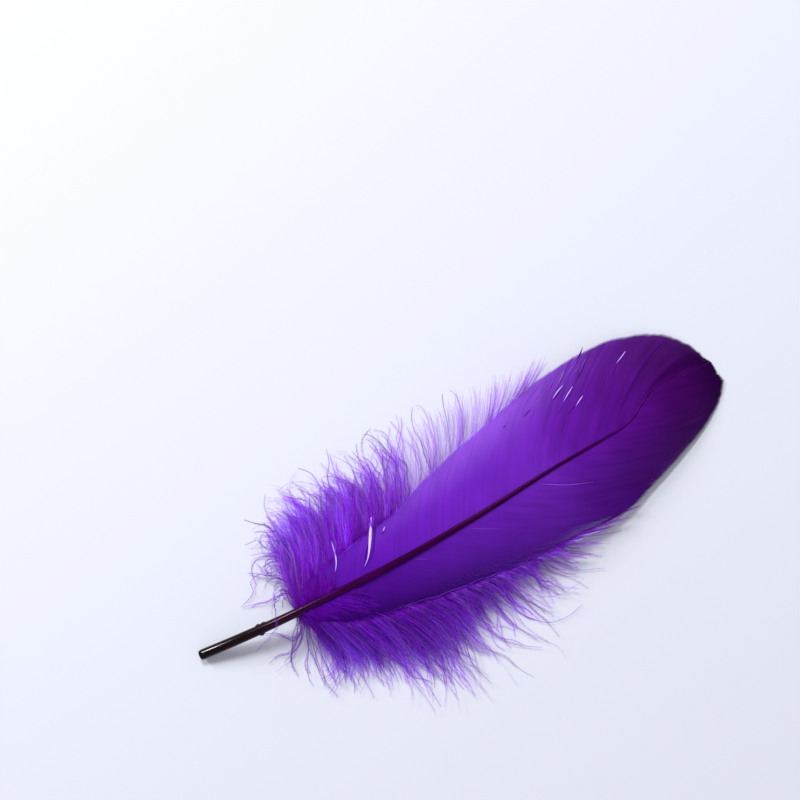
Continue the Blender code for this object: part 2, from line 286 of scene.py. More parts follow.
def keratinFinish(name, look, dull):
    # dark keratin with streaks that run along it; dull goes from 0 on the bare quill to 1 on the shaft
    material = bpy.data.materials.new(name)
    nodes, links = nodesOf(material)
    shader = nodes["Principled BSDF"]
    colour = rampOf(nodes, links, alongValue(nodes, links), look["alongColours"])
    place = objectPlace(nodes, links, scale=look["grainShape"])
    grain = noiseOf(nodes, links, place, look["grainScale"], look["grainDetail"])
    streaks = rescaled(nodes, links, grain, *noiseSpan, *look["streakRange"])
    streaks = timesValue(nodes, links, colour, streaks)
    links.new(streaks, shader.inputs["Base Color"])
    roughness, specular, glare = [np.array(look[key][0]) * (1 - dull) + np.array(look[key][1]) * dull
                                  for key in ("roughness", "specular", "glareColour")]
    uneven = rescaled(nodes, links, grain, *noiseSpan, *(roughness * np.array(look["unevenness"])))
    links.new(uneven, shader.inputs["Roughness"])
    shader.inputs["Specular IOR Level"].default_value = specular
    shader.inputs["Specular Tint"].default_value = (*glare, 1.0)
    bump = nodes.new("ShaderNodeBump")
    bump.inputs["Strength"].default_value = look["bump"]
    bump.inputs["Distance"].default_value = look["bumpHeight"]
    links.new(grain, bump.inputs["Height"])
    links.new(bump.outputs["Normal"], shader.inputs["Normal"])
    return material


def crustFinish(look):
    # dried sheath flakes on the bare quill
    material = bpy.data.materials.new("sheathCrust")
    nodes, links = nodesOf(material)
    shader = nodes["Principled BSDF"]
    grain = noiseOf(nodes, links, objectPlace(nodes, links), look["grainScale"], look["grainDetail"])
    links.new(rampOf(nodes, links, grain, look["colours"]), shader.inputs["Base Color"])
    shader.inputs["Roughness"].default_value = look["roughness"]
    return material


# The quill and shaft

quill = {
    "rings": 300,
    "sides": 28,
    "end": 177.0,
    "headingSteps": 400,     # places at which the shaft's direction is taken
    "firstRings": [0.0, 0.0, 0.1],   # the closed end: its middle, its rim and the chamfer
    "endMiddle": 0.35,       # the end is dished: radius of its middle, as a share of the quill's
    "endDepth": 0.35,
    "chamfer": 0.55,
    "chamferShares": (0.9, 0.35),    # how much the rim and the ring after it are drawn in
    "glossyRings": 50,       # rings of the bare quill
    "dullRings": 82,         # the gloss has faded by this ring
    "glossSteps": 6,
    "flatFrom": 30.0,        # the shaft's section turns from round to squarish past here
    "flatOver": 30.0,        # and has done so after this length
    "squareness": 0.5,
    "grooveDepth": 0.42,     # groove along the shaft's underside, as a share of its radius
    "grooveWidth": 0.5,      # in radians
}
quillLook = {
    "alongColours": [(0.0, (0.0012, 0.0004, 0.001)), (0.10, (0.006, 0.0004, 0.002)),
                     (0.15, (0.018, 0.0003, 0.010)), (0.21, (0.030, 0.0003, 0.045)),
                     (0.30, (0.038, 0.0003, 0.052)), (0.50, (0.032, 0.0003, 0.034)),
                     (0.74, (0.040, 0.0006, 0.06)), (0.82, (0.07, 0.002, 0.15)),
                     (0.95, (0.04, 0.001, 0.08))],
    "grainScale": 900.0,
    "grainShape": (0.08, 1.0, 1.0),      # drawn out along the quill
    "grainDetail": 3.0,
    "streakRange": (0.6, 1.4),
    "unevenness": (0.85, 1.15),
    "bump": 0.05,
    "bumpHeight": 0.0001,
    # the bare quill's value, then the shaft's
    "roughness": (0.10, 0.19),
    "specular": (0.20, 0.05),
    "glareColour": ((1.0, 0.90, 0.95), (1.0, 0.36, 0.74)),
}
crust = {
    # along, degrees round the quill from its top, radius
    "flakes": [(20.0, 76.0, 0.62), (20.9, 60.0, 0.40), (21.9, 72.0, 0.66), (22.7, 48.0, 0.32),
               (20.2, -76.0, 0.74)],
    "seed": 5,
    "steps": 7,
    "around": 12,
    "capped": 0.15,          # radians at each pole that are closed by a flat cap
    "bumps": (0.7, 1.15),    # least and most that a corner is moved out, as a share of the radius
    "out": 0.95,             # a flake's middle, as a share of the quill's radius
    "shape": (1.3, 0.8, 0.6),
    "roughness": 0.8,
    "grainScale": 2500.0,
    "grainDetail": 4.0,
    "colours": [(0.3, (0.004, 0.001, 0.002)), (0.7, (0.03, 0.008, 0.02))],
}


def shaftRings():
    along = np.linspace(0, quill["end"], quill["rings"])
    along = np.concatenate([quill["firstRings"], along[1:]])
    steps = np.linspace(0, quill["end"], quill["headingSteps"])
    headings = unit(np.gradient(shaftSpots(steps), axis=0))
    forward = np.stack([np.interp(along, steps, headings[:, axis]) for axis in range(3)], axis=-1)
    side = unit(np.stack([-forward[:, 1], forward[:, 0], 0 * along], axis=-1))
    up = np.cross(forward, side)
    radius = through(shaftRadii, along)
    radius[0] *= quill["endMiddle"]
    for ring, share in zip((1, 2), quill["chamferShares"]):
        radius[ring] -= quill["chamfer"] * share
    centre = shaftSpots(along)
    centre[0] += forward[0] * quill["endDepth"]
    angle = np.linspace(0, 2 * np.pi, quill["sides"], endpoint=False)
    squarish = easeIn((along - quill["flatFrom"]) / quill["flatOver"])[:, None] * quill["squareness"]
    square = 1 / (np.abs(np.cos(angle)) ** 4 + np.abs(np.sin(angle)) ** 4) ** 0.25
    grow = 1 + (square[None, :] - 1) * squarish
    dip = np.exp(-((angle - 1.5 * np.pi) / quill["grooveWidth"]) ** 2)[None, :]
    groove = dip * squarish * 2 * quill["grooveDepth"]
    reach = radius[:, None] * grow * (1 - groove)
    return (centre[:, None] + side[:, None] * (np.cos(angle)[None, :] * reach)[..., None]
            + up[:, None] * (np.sin(angle)[None, :] * reach)[..., None])


def makeQuill():
    # one tube in short lengths, so that its gloss can fade bit by bit
    rings = shaftRings()
    joins = np.linspace(quill["glossyRings"], quill["dullRings"], quill["glossSteps"]).round().astype(int)
    ends = [1, *joins, len(rings)]
    for number in range(len(ends) - 1):
        length = rings[ends[number] - 1:ends[number + 1]]
        faces = [tubeFaces(1, len(length), quill["sides"])] + capFaces(1, len(length), quill["sides"])
        finish = keratinFinish(f"quillKeratin{number}", quillLook, number / (len(ends) - 2))
        makePiece(f"quillLength{number}", length, faces, finish, sharpAngle=50)


def makeCrust():
    # small ragged flakes that sit half sunk in the quill
    chance = np.random.default_rng(crust["seed"])
    points, faces = [], []
    steps, around = crust["steps"], crust["around"]
    polar = np.linspace(crust["capped"], np.pi - crust["capped"], steps)[:, None]
    spin = np.linspace(0, 2 * np.pi, around, endpoint=False)[None, :]
    ball = np.stack([np.cos(polar) + 0 * spin, np.sin(polar) * np.cos(spin), np.sin(polar) * np.sin(spin)],
                    axis=-1)
    for number, (along, angle, radius) in enumerate(crust["flakes"]):
        turn = math.radians(angle)
        outward = np.array([0, math.sin(turn), math.cos(turn)])
        middle = shaftSpots(np.array(along)) + outward * through(shaftRadii, along) * crust["out"]
        bumpy = radius * chance.uniform(*crust["bumps"], (steps, around))
        points.append((middle + ball * bumpy[..., None] * np.array(crust["shape"])).reshape(-1, 3))
        first = number * steps * around
        faces.append(tubeFaces(1, steps, around, first)[:, ::-1])
        faces += [cap[:, ::-1] for cap in capFaces(1, steps, around, first)]
    makePiece("quillCrust", np.concatenate(points), faces, crustFinish(crust), sharpAngle=30)


# The vanes, barb by barb

vaneLook = {
    "alongColours": [(0.17, (0.10, 0.005, 0.38)), (0.30, (0.128, 0.007, 0.46)), (0.52, (0.175, 0.018, 0.57)),
                     (0.64, (0.19, 0.022, 0.57)), (0.74, (0.140, 0.009, 0.40)), (0.83, (0.108, 0.004, 0.27)),
                     (0.92, (0.070, 0.0012, 0.145)), (1.0, (0.032, 0.0005, 0.065))],
    # the colour of the painted highlight towards and along the vane's edge
    "paleColour": (0.46, 0.20, 0.92),
    "toneRange": (0.6, 1.4),
    "blotchScale": 110.0,
    "blotchRange": (0.94, 1.06),
    "roughness": 0.6,
    "specular": 0.035,
    "letThrough": 0.22,
}
barbs = {
    "spacing": 0.42,         # between barbs along the shaft
    "rows": 26,
    "overlap": 0.66,         # half width of a barb, as a share of the way to its neighbour
    "pointed": 0.03,         # share of a barb over which its end narrows
    "endWidth": 0.3,         # and the width it narrows to, as a share
    "ridge": 0.07,
    "belly": 0.05,
    "shingle": 0.05,         # each barb's edge nearer the tip lies over its neighbour's
    "lowest": 0.12,          # a barb's middle stays this far above the floor
    "rippleHeights": [(14.0, 0.05), (6.0, 0.006), (2.3, 0.003)],   # (wavelength along the shaft, height)
    "rippleRise": 0.6,       # 1 is an even rise from the shaft, less is a rise close to it
    "looseHeight": 0.012,
    "streakEase": 8.0,       # length along the shaft over which the streaks set in
    "streakWave": 0.9,
    "streakFrom": (0.35, 0.4),       # share of the barb where they start, and over which they rise
    "creaseWidth": 2.0,
    "splitEase": (0.25, 0.2),        # shares of a barb over which a split opens and closes
    "frayAlone": 0.5,        # fray of single barbs, beside that of barbs that fray together
    "frayWave": 2.2,
    "frayLimits": (-0.12, 0.06),
    "toneSpread": 0.05,
    "toneWave": (1.3, 0.012),        # wavelength along the shaft, strength
    "baseShade": 0.3,        # the vane is darker at its base, by the quill
    "paintedEdgeFrom": (0.93, 0.06),        # share of the barb where the painted edge highlight starts, and over which it rises
    "patches": 0.09,         # how strongly the dye varies in soft patches
    "patchLengths": (4.0, 9.0),
    "patchWaves": 4,
    "patchSlant": 2.5,
}
vanes = {
    "broad": {
        "name": "broadVane", "guides": broadBarbs, "outward": 1.0, "seed": 3,
        "first": 34.0, "last": 177.7,
        # (root, share where it opens, share where it closes, gap, spread over neighbours, lift)
        "splits": [(55.5, 0.16, 1.6, 0.45, 1.2, 0.08), (47.0, 0.60, 1.6, 0.2, 0.8, 0.0),
                   (103.5, 0.50, 0.72, 0.25, 0.8, 0.1), (110.5, 0.52, 0.86, 0.3, 0.8, 0.15),
                   (116.0, 0.62, 0.95, 0.35, 0.9, 0.15), (131.0, 0.62, 0.88, 0.3, 0.9, 0.15)],
        "crease": (141.0, 0.55),         # root where it starts, drop
        "streaks": (98.0, 132.0, 0.14),  # first and last root, height
        # the rest are (root, strength)
        "frayShare": [(34.0, 0.01), (100.0, 0.008), (118.0, 0.006), (128.0, 0.004), (142.0, 0.010),
                      (177.0, 0.012)],
        # rim: painted highlight, paler towards the edge where the broad vane tips towards the key light
        "rim": [(34.0, 0.0), (50.0, 0.05), (62.0, 0.14), (75.0, 0.30), (92.0, 0.42), (106.0, 0.34),
                (118.0, 0.16), (130.0, 0.04), (177.0, 0.0)],
        "rimFrom": 0.3,
        "paintedEdgeHighlight": [(34.0, 0.0), (50.0, 0.35), (62.0, 0.55), (100.0, 0.45), (112.0, 0.10), (177.0, 0.0)],
        "folds": [(34.0, 1.0), (108.0, 1.0), (132.0, 3.2), (177.0, 3.2)],
        "patchy": [(34.0, 0.15), (100.0, 0.25), (122.0, 1.0), (177.0, 1.0)],
        "dim": [(34.0, 0.9), (44.0, 0.35), (52.0, 0.0), (177.0, 0.0)],
    },
    "narrow": {
        "name": "narrowVane", "guides": narrowBarbs, "outward": -1.0, "seed": 8,
        "first": 34.0, "last": 177.7,
        "splits": [],
        "crease": None,
        "streaks": (84.0, 120.0, 0.08),
        "frayShare": [(34.0, 0.006), (86.0, 0.004), (98.0, 0.012), (108.0, 0.006), (125.0, 0.004),
                      (150.0, 0.010), (177.0, 0.012)],
        # rim: painted highlight towards the edge
        "rim": [(34.0, 0.0), (104.0, 0.0), (122.0, 0.035), (142.0, 0.03), (162.0, 0.0), (177.0, 0.0)],
        "rimFrom": 0.0,
        "paintedEdgeHighlight": [(34.0, 0.0), (44.0, 0.15), (56.0, 0.32), (84.0, 0.32), (96.0, 0.0), (177.0, 0.0)],
        "folds": [(34.0, 1.0), (108.0, 1.0), (132.0, 2.6), (177.0, 2.6)],
        "patchy": [(34.0, 0.15), (80.0, 0.25), (100.0, 0.8), (177.0, 0.9)],
        "dim": [(34.0, 0.7), (44.0, 0.2), (50.0, 0.0), (177.0, 0.0)],
    },
}


def smoothNoise(chance, values, wavelength):
    # random numbers that change slowly along values, between about -1 and 1
    low, high = values.min() - 1, values.max() + 1
    count = max(4, int((high - low) / wavelength) + 3)
    knots = np.stack([np.linspace(low, high, count), chance.normal(0, 0.6, count)], axis=-1)
    return through(knots, values)


def softPatches(roots, shares, chance):
    # slow waves across and along the barbs, between about -1 and 1
    total = 0
    slant = barbs["patchSlant"]
    for wavelength in np.linspace(*barbs["patchLengths"], barbs["patchWaves"]):
        across, phase = chance.uniform(-slant, slant), chance.uniform(0, 1)
        total = total + np.sin(2 * np.pi * (roots[:, None] / wavelength + across * shares + phase)) / 2
    return total


def openSplits(side, spots, toNext, roots, shares):
    # the barbs beside a split bunch up and lift a little, and leave a gap
    opening, closing = barbs["splitEase"]
    for root, opens, closes, gap, spread, lift in side["splits"]:
        away = roots[:, None] - root
        window = easeIn((shares - opens) / opening) * easeIn((closes - shares) / closing)
        near = np.exp(-np.abs(away) / spread)
        spots = spots + toNext * (np.sign(away) * near * window * gap / 2)[..., None]
        spots[..., 2] += lift * np.exp(-(away / spread * 2) ** 2) * window
    return spots


def swellOf(side, roots, shares, chance):
    # how far each place of a vane stands above or below the smooth form
    swell = 0
    for wavelength, height in barbs["rippleHeights"]:
        ripple = height * smoothNoise(chance, roots, wavelength)[:, None]
        swell = swell + ripple * shares ** barbs["rippleRise"]
    swell = swell * through(side["folds"], roots)[:, None]
    low, high, streakHeight = side["streaks"]
    inStreaks = easeIn((roots - low) / barbs["streakEase"]) * easeIn((high - roots) / barbs["streakEase"])
    starts, rises = barbs["streakFrom"]
    streak = smoothNoise(chance, roots, barbs["streakWave"])[:, None] * easeIn((shares - starts) / rises)
    swell = swell + streakHeight * inStreaks[:, None] * streak
    swell = swell + barbs["looseHeight"] * chance.normal(0, 1, len(roots))[:, None] * shares
    if side["crease"]:
        root, drop = side["crease"]
        past = easeIn((roots - root) / barbs["creaseWidth"])[:, None]
        swell = swell - drop * past * np.sin(np.pi * np.clip(shares, 0, 1))
    return swell


def vaneSpots(side, roots, shares, chance):
    flat = barbSpots(side["guides"], roots[:, None], shares)
    forward = unit(np.gradient(flat, axis=1))
    toNext = np.gradient(flat, axis=0)
    toNext = toNext - (toNext * forward).sum(axis=-1, keepdims=True) * forward
    spots = openSplits(side, flat, unit(toNext), roots, shares)
    spots[..., 2] = np.maximum(spots[..., 2] + swellOf(side, roots, shares, chance), barbs["lowest"])
    return spots, forward, toNext


def frayedShares(side, roots, chance):
    # barbs end a little short of the vane's edge or past it, alone and in groups
    fray = barbs["frayAlone"] * chance.normal(0, 1, len(roots))
    fray = fray + smoothNoise(chance, roots, barbs["frayWave"])
    fray = np.clip(fray * through(side["frayShare"], roots), *barbs["frayLimits"])
    return np.linspace(0, 1, barbs["rows"])[None, :] * (1 + fray)[:, None]


def barbCorners(side, spots, forward, toNext):
    # every barb is a flat four-sided tube that overlaps its neighbours like shingles
    up = np.cross(forward, toNext) * -side["outward"]
    up = unit(up * np.sign(up[..., 2:3] + 1e-9))
    taper = (1.01 - np.linspace(0, 1, barbs["rows"])) / barbs["pointed"]
    taper = np.clip(taper, barbs["endWidth"], 1)[None, :, None]
    reach = toNext * barbs["overlap"] * taper
    before = spots - reach - up * barbs["shingle"]
    after = spots + reach + up * barbs["shingle"]
    ridge = spots + up * barbs["ridge"] * taper
    belly = spots - up * barbs["belly"] * taper
    order = [before, ridge, after, belly] if side["outward"] > 0 else [after, ridge, before, belly]
    points = np.stack(order, axis=2)
    points[..., 2] = np.maximum(points[..., 2], lie["clearance"])
    return points


def vaneMarks(side, roots, shares, chance):
    # tone is how light the barbs are; pale is painted highlight, towards the vane's edge (rim) and along it
    count, rows = len(roots), barbs["rows"]
    wavelength, strength = barbs["toneWave"]
    tone = 0.5 + barbs["toneSpread"] * chance.normal(0, 1, count)
    tone = tone + strength * smoothNoise(chance, roots, wavelength)
    tone = tone - barbs["baseShade"] * through(side["dim"], roots)
    patchy = barbs["patches"] * through(side["patchy"], roots)[:, None]
    tone = tone[:, None] + patchy * softPatches(roots, shares, chance)
    # painted highlight: the vane turns paler towards its edge
    pale = through(side["rim"], roots)[:, None] * easeIn((shares - side["rimFrom"]) / (1 - side["rimFrom"]))
    # painted highlight: a pale line along the vane's edge
    starts, rises = barbs["paintedEdgeFrom"]
    edge = easeIn((np.linspace(0, 1, rows) - starts) / rises)
    pale = pale + through(side["paintedEdgeHighlight"], roots)[:, None] * edge
    return {mark: np.broadcast_to(values[..., None], (count, rows, 4)).copy()
            for mark, values in (("tone", tone), ("pale", pale))}


def makeVane(side):
    chance = np.random.default_rng(side["seed"])
    roots = np.arange(side["first"], side["last"], barbs["spacing"])
    shares = frayedShares(side, roots, chance)
    points = barbCorners(side, *vaneSpots(side, roots, shares, chance))
    faces = [tubeFaces(len(roots), barbs["rows"], 4)] + capFaces(len(roots), barbs["rows"], 4)
    marks = vaneMarks(side, roots, shares, chance)
    makePiece(side["name"], points, faces, vaneFinish, marks, sharpAngle=60)


# The height of the vanes, for all that lies on them or under them

shelf = {"cell": 0.5, "length": 200.0, "low": -30.0, "high": 40.0, "rootStep": 0.15, "rows": 120,
         "under": 0.5, "over": 0.16}      # how far down stays under the vane, or over it


def vaneShelf():
    # the height of the vanes over a grid of small squares, and nothing outside them
    cells = (int(shelf["length"] / shelf["cell"]), int((shelf["high"] - shelf["low"]) / shelf["cell"]))
    heights = np.full(cells, np.nan)
    roots = np.arange(34.0, 177.0, shelf["rootStep"])[:, None]
    shares = np.linspace(0, 1, shelf["rows"])[None, :]
    for guides in (broadBarbs, narrowBarbs):
        spots = barbSpots(guides, roots, shares)
        across = ((spots[..., 1] - shelf["low"]) / shelf["cell"]).astype(int)
        heights[(spots[..., 0] / shelf["cell"]).astype(int), across] = spots[..., 2]
    return heights


vaneHeights = vaneShelf()


def shelfHeights(places):
    rows = (places[..., 0] / shelf["cell"]).astype(int)
    columns = ((places[..., 1] - shelf["low"]) / shelf["cell"]).astype(int)
    lastRow, lastColumn = vaneHeights.shape[0] - 1, vaneHeights.shape[1] - 1
    return vaneHeights[np.clip(rows, 0, lastRow), np.clip(columns, 0, lastColumn)]


# Painted highlights where slits, lifted barbs and edges catch the light, and painted shade on their dark
# sides

slitShape = {"rows": 26, "thick": 0.3, "ends": (0.03, 0.97), "full": 0.8, "smooth": 3}
# each slit: places on the vane (along, side), half the width, and how far past the middle it is widest
slitGroups = {
    # pale slivers in splits and on lifted barbs: painted highlight, and in the big split also the paler
    # barbs below
    "paintedHighlightSlits": {"look": dict(vaneLook, paleColour=(0.66, 0.52, 0.94), letThrough=0.3), "over": 0.55,
                  "slits": [
        ([(57.0, 0.8), (59.4, 2.9), (61.9, 6.5), (63.8, 9.7), (65.7, 13.1)], 0.53, 1.7),
        ([(48.6, 3.6), (50.2, 6.1), (51.1, 9.1), (51.7, 12.2)], 0.24, 1.2),
        ([(67.0, 7.8), (68.1, 8.7)], 0.15, 1.0),
        ([(130.9, 19.6), (133.2, 20.8), (135.6, 21.8)], 0.17, 1.0),
        ([(133.2, 17.3), (135.6, 18.7), (138.0, 20.1)], 0.15, 1.4),
        ([(135.9, 14.3), (137.6, 15.3), (139.4, 16.2)], 0.15, 1.4),
        ([(152.9, 20.1), (155.3, 21.1), (157.4, 22.1)], 0.14, 1.3),
        ([(119.0, -21.0), (122.0, -22.0), (125.4, -22.6)], 0.10, 1.3),
        ([(115.2, -21.0), (117.6, -21.9), (120.0, -22.5)], 0.07, 1.3)]},
    # fainter painted highlight: lilac lines where barbs and the closed edge catch the light
    "paintedSoftHighlights": {"look": dict(vaneLook, paleColour=(0.27, 0.08, 0.66), letThrough=0.3), "over": 0.14,
                  "slits": [
        ([(134.1, 23.4), (136.8, 24.9), (139.8, 26.3)], 0.12, 1.2),
        ([(138.0, 23.7), (141.1, 25.5), (144.4, 26.8)], 0.12, 1.2),
        ([(130.1, 21.9), (132.2, 23.4), (134.7, 24.5)], 0.11, 1.2),
        ([(141.7, 22.5), (144.1, 24.6), (146.2, 26.1)], 0.11, 1.2),
        ([(125.2, 21.3), (128.9, 23.1), (131.9, 24.3)], 0.11, 1.2),
        ([(136.8, 21.9), (139.8, 23.4), (142.9, 24.6)], 0.09, 1.2),
        ([(122.2, 21.9), (125.9, 23.7), (128.9, 24.9)], 0.11, 1.2),
        ([(139.8, 25.5), (142.3, 26.8), (144.7, 27.4)], 0.11, 1.2),
        ([(115.8, -1.5), (119.2, -3.5), (122.8, -5.5), (126.5, -7.0), (130.4, -8.5)], 0.14, 0.7),
        ([(90.9, -3.6), (94.8, -5.8), (99.1, -7.9)], 0.08, 0.8),
        ([(71.1, -3.6), (75.7, -6.1)], 0.06, 1.0),
        ([(59.0, -14.7), (63.5, -15.7), (68.7, -16.4), (71.7, -17.3), (77.2, -17.8), (80.9, -18.5),
          (86.3, -18.8), (90.0, -19.6), (94.2, -19.5), (98.5, -20.2), (104.0, -20.2), (108.2, -20.8),
          (112.5, -20.5), (117.3, -21.1)], 0.11, 1.0),
        ([(51.1, 6.7), (54.7, 7.8), (58.4, 8.5), (60.8, 8.8)], 0.14, 1.0),
        ([(67.8, 10.0), (72.4, 11.2), (76.3, 12.5), (80.9, 14.1)], 0.14, 1.0)]},
    # painted shade: dark slivers on the shaded side of splits and lifted barbs
    "paintedShadeSlits": {"look": dict(vaneLook, paleColour=(0.055, 0.0015, 0.15), letThrough=0.0), "over": 0.12,
                  "slits": [
        ([(58.2, 0.9), (60.8, 3.0), (63.4, 6.7), (65.1, 9.4), (66.0, 11.2)], 0.18, 1.4),
        ([(131.0, 19.2), (132.5, 19.9), (134.1, 20.7)], 0.14, 1.0),
        ([(132.8, 13.2), (134.4, 14.0), (136.5, 15.0)], 0.15, 1.0),
        ([(129.8, 14.7), (131.9, 15.8), (134.1, 16.7)], 0.09, 1.0),
        ([(120.4, 18.8), (121.9, 19.3), (123.7, 19.9)], 0.12, 1.0),
        ([(113.4, 18.7), (114.9, 19.2)], 0.09, 1.0),
        ([(149.0, 16.4), (151.1, 18.2), (153.2, 19.9)], 0.09, 1.0),
        ([(66.0, 7.1), (67.5, 7.6)], 0.11, 1.0),
        ([(157.5, 15.0), (161.7, 17.2), (166.9, 18.8), (171.5, 19.5)], 0.24, 1.0),
        ([(142.3, 25.7), (144.1, 27.2), (145.6, 28.4), (146.5, 29.2)], 0.21, 1.0),
        ([(140.1, 21.1), (142.9, 23.1), (145.0, 24.9)], 0.09, 1.0),
        ([(149.9, -2.7), (153.2, -4.0), (157.8, -5.5)], 0.12, 1.0)]},
}


def curveThrough(points, steps):
    # a smooth curve through given places, evenly stepped
    knots = np.asarray(points, float)
    legs = np.linalg.norm(np.diff(knots, axis=0), axis=1)
    at = np.concatenate([[0], np.cumsum(legs)]) / legs.sum()
    slopes = np.gradient(knots, at, axis=0) if len(knots) > 2 else np.diff(knots, axis=0).repeat(2, axis=0)
    t = np.linspace(0, 1, steps)
    i = np.clip(np.searchsorted(at, t, side="right") - 1, 0, len(at) - 2)
    span = (at[i + 1] - at[i])[:, None]
    u = ((t - at[i]) / (at[i + 1] - at[i]))[:, None]
    start = (1 + 2 * u) * (1 - u) ** 2 * knots[i] + u * (1 - u) ** 2 * span * slopes[i]
    end = u * u * (3 - 2 * u) * knots[i + 1] - u * u * (1 - u) * span * slopes[i + 1]
    return start + end


def slitHeights(flat, over):
    # a smooth line over the vane, also where a slit's end runs off it
    vane = shelfHeights(flat)
    known = ~np.isnan(vane)
    steps = np.arange(len(vane))
    height = np.interp(steps, steps[known], vane[known])
    return np.polyval(np.polyfit(steps, height, slitShape["smooth"]), steps) + over


def makeSlits(name, group):
    # slender lenses that follow the vane's surface, painted as highlight or as shade
    rings = []
    rows, thick = slitShape["rows"], slitShape["thick"]
    section = np.array([(1, 0), (0, thick), (-1, 0), (0, -thick)])
    for points, width, skew in group["slits"]:
        flat = curveThrough(points, rows)
        height = slitHeights(flat, group["over"])
        forward = unit(np.gradient(flat, axis=0))
        across = np.stack([-forward[:, 1], forward[:, 0], 0 * height], axis=-1)
        slender = width * np.sin(np.pi * np.linspace(*slitShape["ends"], rows) ** skew) ** slitShape["full"]
        middle = np.concatenate([flat, height[:, None]], axis=-1)
        reach = across[:, None] * section[None, :, :1] + np.array([0, 0, 1.0]) * section[None, :, 1:]
        rings.append(middle[:, None] + reach * slender[:, None, None])
    points = np.stack(rings)
    faces = [tubeFaces(len(rings), rows, 4)] + capFaces(len(rings), rows, 4)
    marks = {mark: np.full(points.shape[:3], 1.0) for mark in ("tone", "pale")}
    makePiece(name, points, faces, webbedFinish(name, group["look"]), marks)


# The down, strand by strand

downLook = {
    "alongColours": [(0.10, (0.34, 0.008, 0.88)), (0.27, (0.39, 0.013, 0.84)), (0.42, (0.385, 0.014, 0.79)),
                     (0.80, (0.38, 0.018, 0.74))],
    "paleColour": (0.62, 0.34, 0.95),
    "toneRange": (0.55, 1.35),
    "blotchScale": 80.0,
    "blotchRange": (0.92, 1.08),
    "roughness": 0.8,
    "specular": 0.0,
    "letThrough": 0.5,
}
# a bluer violet, as the narrow side's down has in the picture
narrowDownLook = dict(downLook, alongColours=[(0.10, (0.325, 0.009, 0.88)), (0.27, (0.350, 0.014, 0.88)),
                                              (0.42, (0.365, 0.015, 0.83)), (0.80, (0.38, 0.018, 0.75))])

# guide locks: (barb it grows on, share of that barb, tip's along, tip's side)
broadFan = [(33.0, 0.0, 25.0, 10.6), (33.2, 0.0, 28.0, 18.2), (33.4, 0.0, 32.0, 25.5),
            (33.8, 0.1, 37.0, 31.0), (36.0, 0.4, 43.0, 34.0), (42.0, 0.6, 53.0, 35.0),
            (50.0, 0.7, 64.0, 36.0), (58.0, 0.75, 75.5, 36.5), (68.0, 0.8, 87.0, 37.0),
            (76.0, 0.86, 96.5, 36.5), (83.0, 0.9, 107.5, 36.6), (91.0, 0.92, 119.0, 35.6),
            (98.0, 0.95, 129.5, 33.8), (105.0, 0.96, 138.5, 32.6)]
narrowFan = [(33.0, 0.0, 24.0, -10.6), (33.2, 0.0, 27.0, -18.4), (33.4, 0.0, 30.0, -26.0),
             (33.6, 0.0, 34.5, -33.0), (34.5, 0.2, 42.5, -36.5), (36.0, 0.4, 49.5, -40.5),
             (38.0, 0.5, 56.5, -46.0), (41.0, 0.6, 63.5, -51.8), (44.0, 0.65, 72.0, -52.3),
             (48.0, 0.7, 82.0, -51.6), (54.0, 0.75, 92.4, -48.5), (60.0, 0.8, 100.0, -44.0),
             (66.0, 0.86, 108.0, -38.5), (71.5, 0.88, 117.0, -32.6), (79.5, 0.91, 129.0, -26.4),
             (91.0, 0.95, 143.5, -20.4)]
broadCollar = [(33.0, 0.0, 33.0, 8.0), (34.5, 0.0, 36.0, 13.0), (37.0, 0.0, 40.5, 13.0),
               (40.0, 0.0, 45.5, 9.5), (44.0, 0.0, 50.0, 5.5)]
narrowCollar = [(33.0, 0.0, 32.5, -10.0), (34.5, 0.0, 38.0, -16.5), (37.0, 0.0, 46.0, -19.5),
                (41.0, 0.0, 57.0, -18.5), (47.0, 0.0, 65.0, -13.0)]
# how the locks of each side lie: (place in the fan, value), with turn, curl and unrest in degrees
sides = {
    "broad": {
        "guides": broadBarbs, "fan": broadFan,
        "turn": [(0.0, 55.0), (0.25, 25.0), (0.5, 30.0), (0.75, 20.0), (1.0, 6.0)],
        "curl": [(0.0, 120.0), (0.3, 50.0), (0.6, 25.0), (0.8, 8.0), (1.0, 2.0)],
        "spread": [(0.0, 5.0), (0.2, 3.6), (0.5, 3.6), (0.75, 2.2), (1.0, 1.0)],
        "unrest": [(0.0, 44.0), (0.5, 44.0), (0.75, 14.0), (1.0, 6.0)],
        "clumps": 11.0,      # in the whole fan
        "liftFrom": 0.6,     # past this place in the fan strands keep more of their root's height
    },
    "narrow": {
        "guides": narrowBarbs, "fan": narrowFan,
        "turn": [(0.0, -50.0), (0.3, -25.0), (0.5, -40.0), (0.8, -20.0), (1.0, -8.0)],
        "curl": [(0.0, -90.0), (0.3, -20.0), (0.6, 15.0), (0.85, 12.0), (1.0, 4.0)],
        "spread": [(0.0, 4.2), (0.2, 2.8), (0.5, 3.2), (0.8, 2.2), (1.0, 0.9)],
        "unrest": [(0.0, 24.0), (0.5, 24.0), (0.8, 18.0), (1.0, 10.0)],
        "clumps": 13.0,
        "liftFrom": 0.75,
    },
}
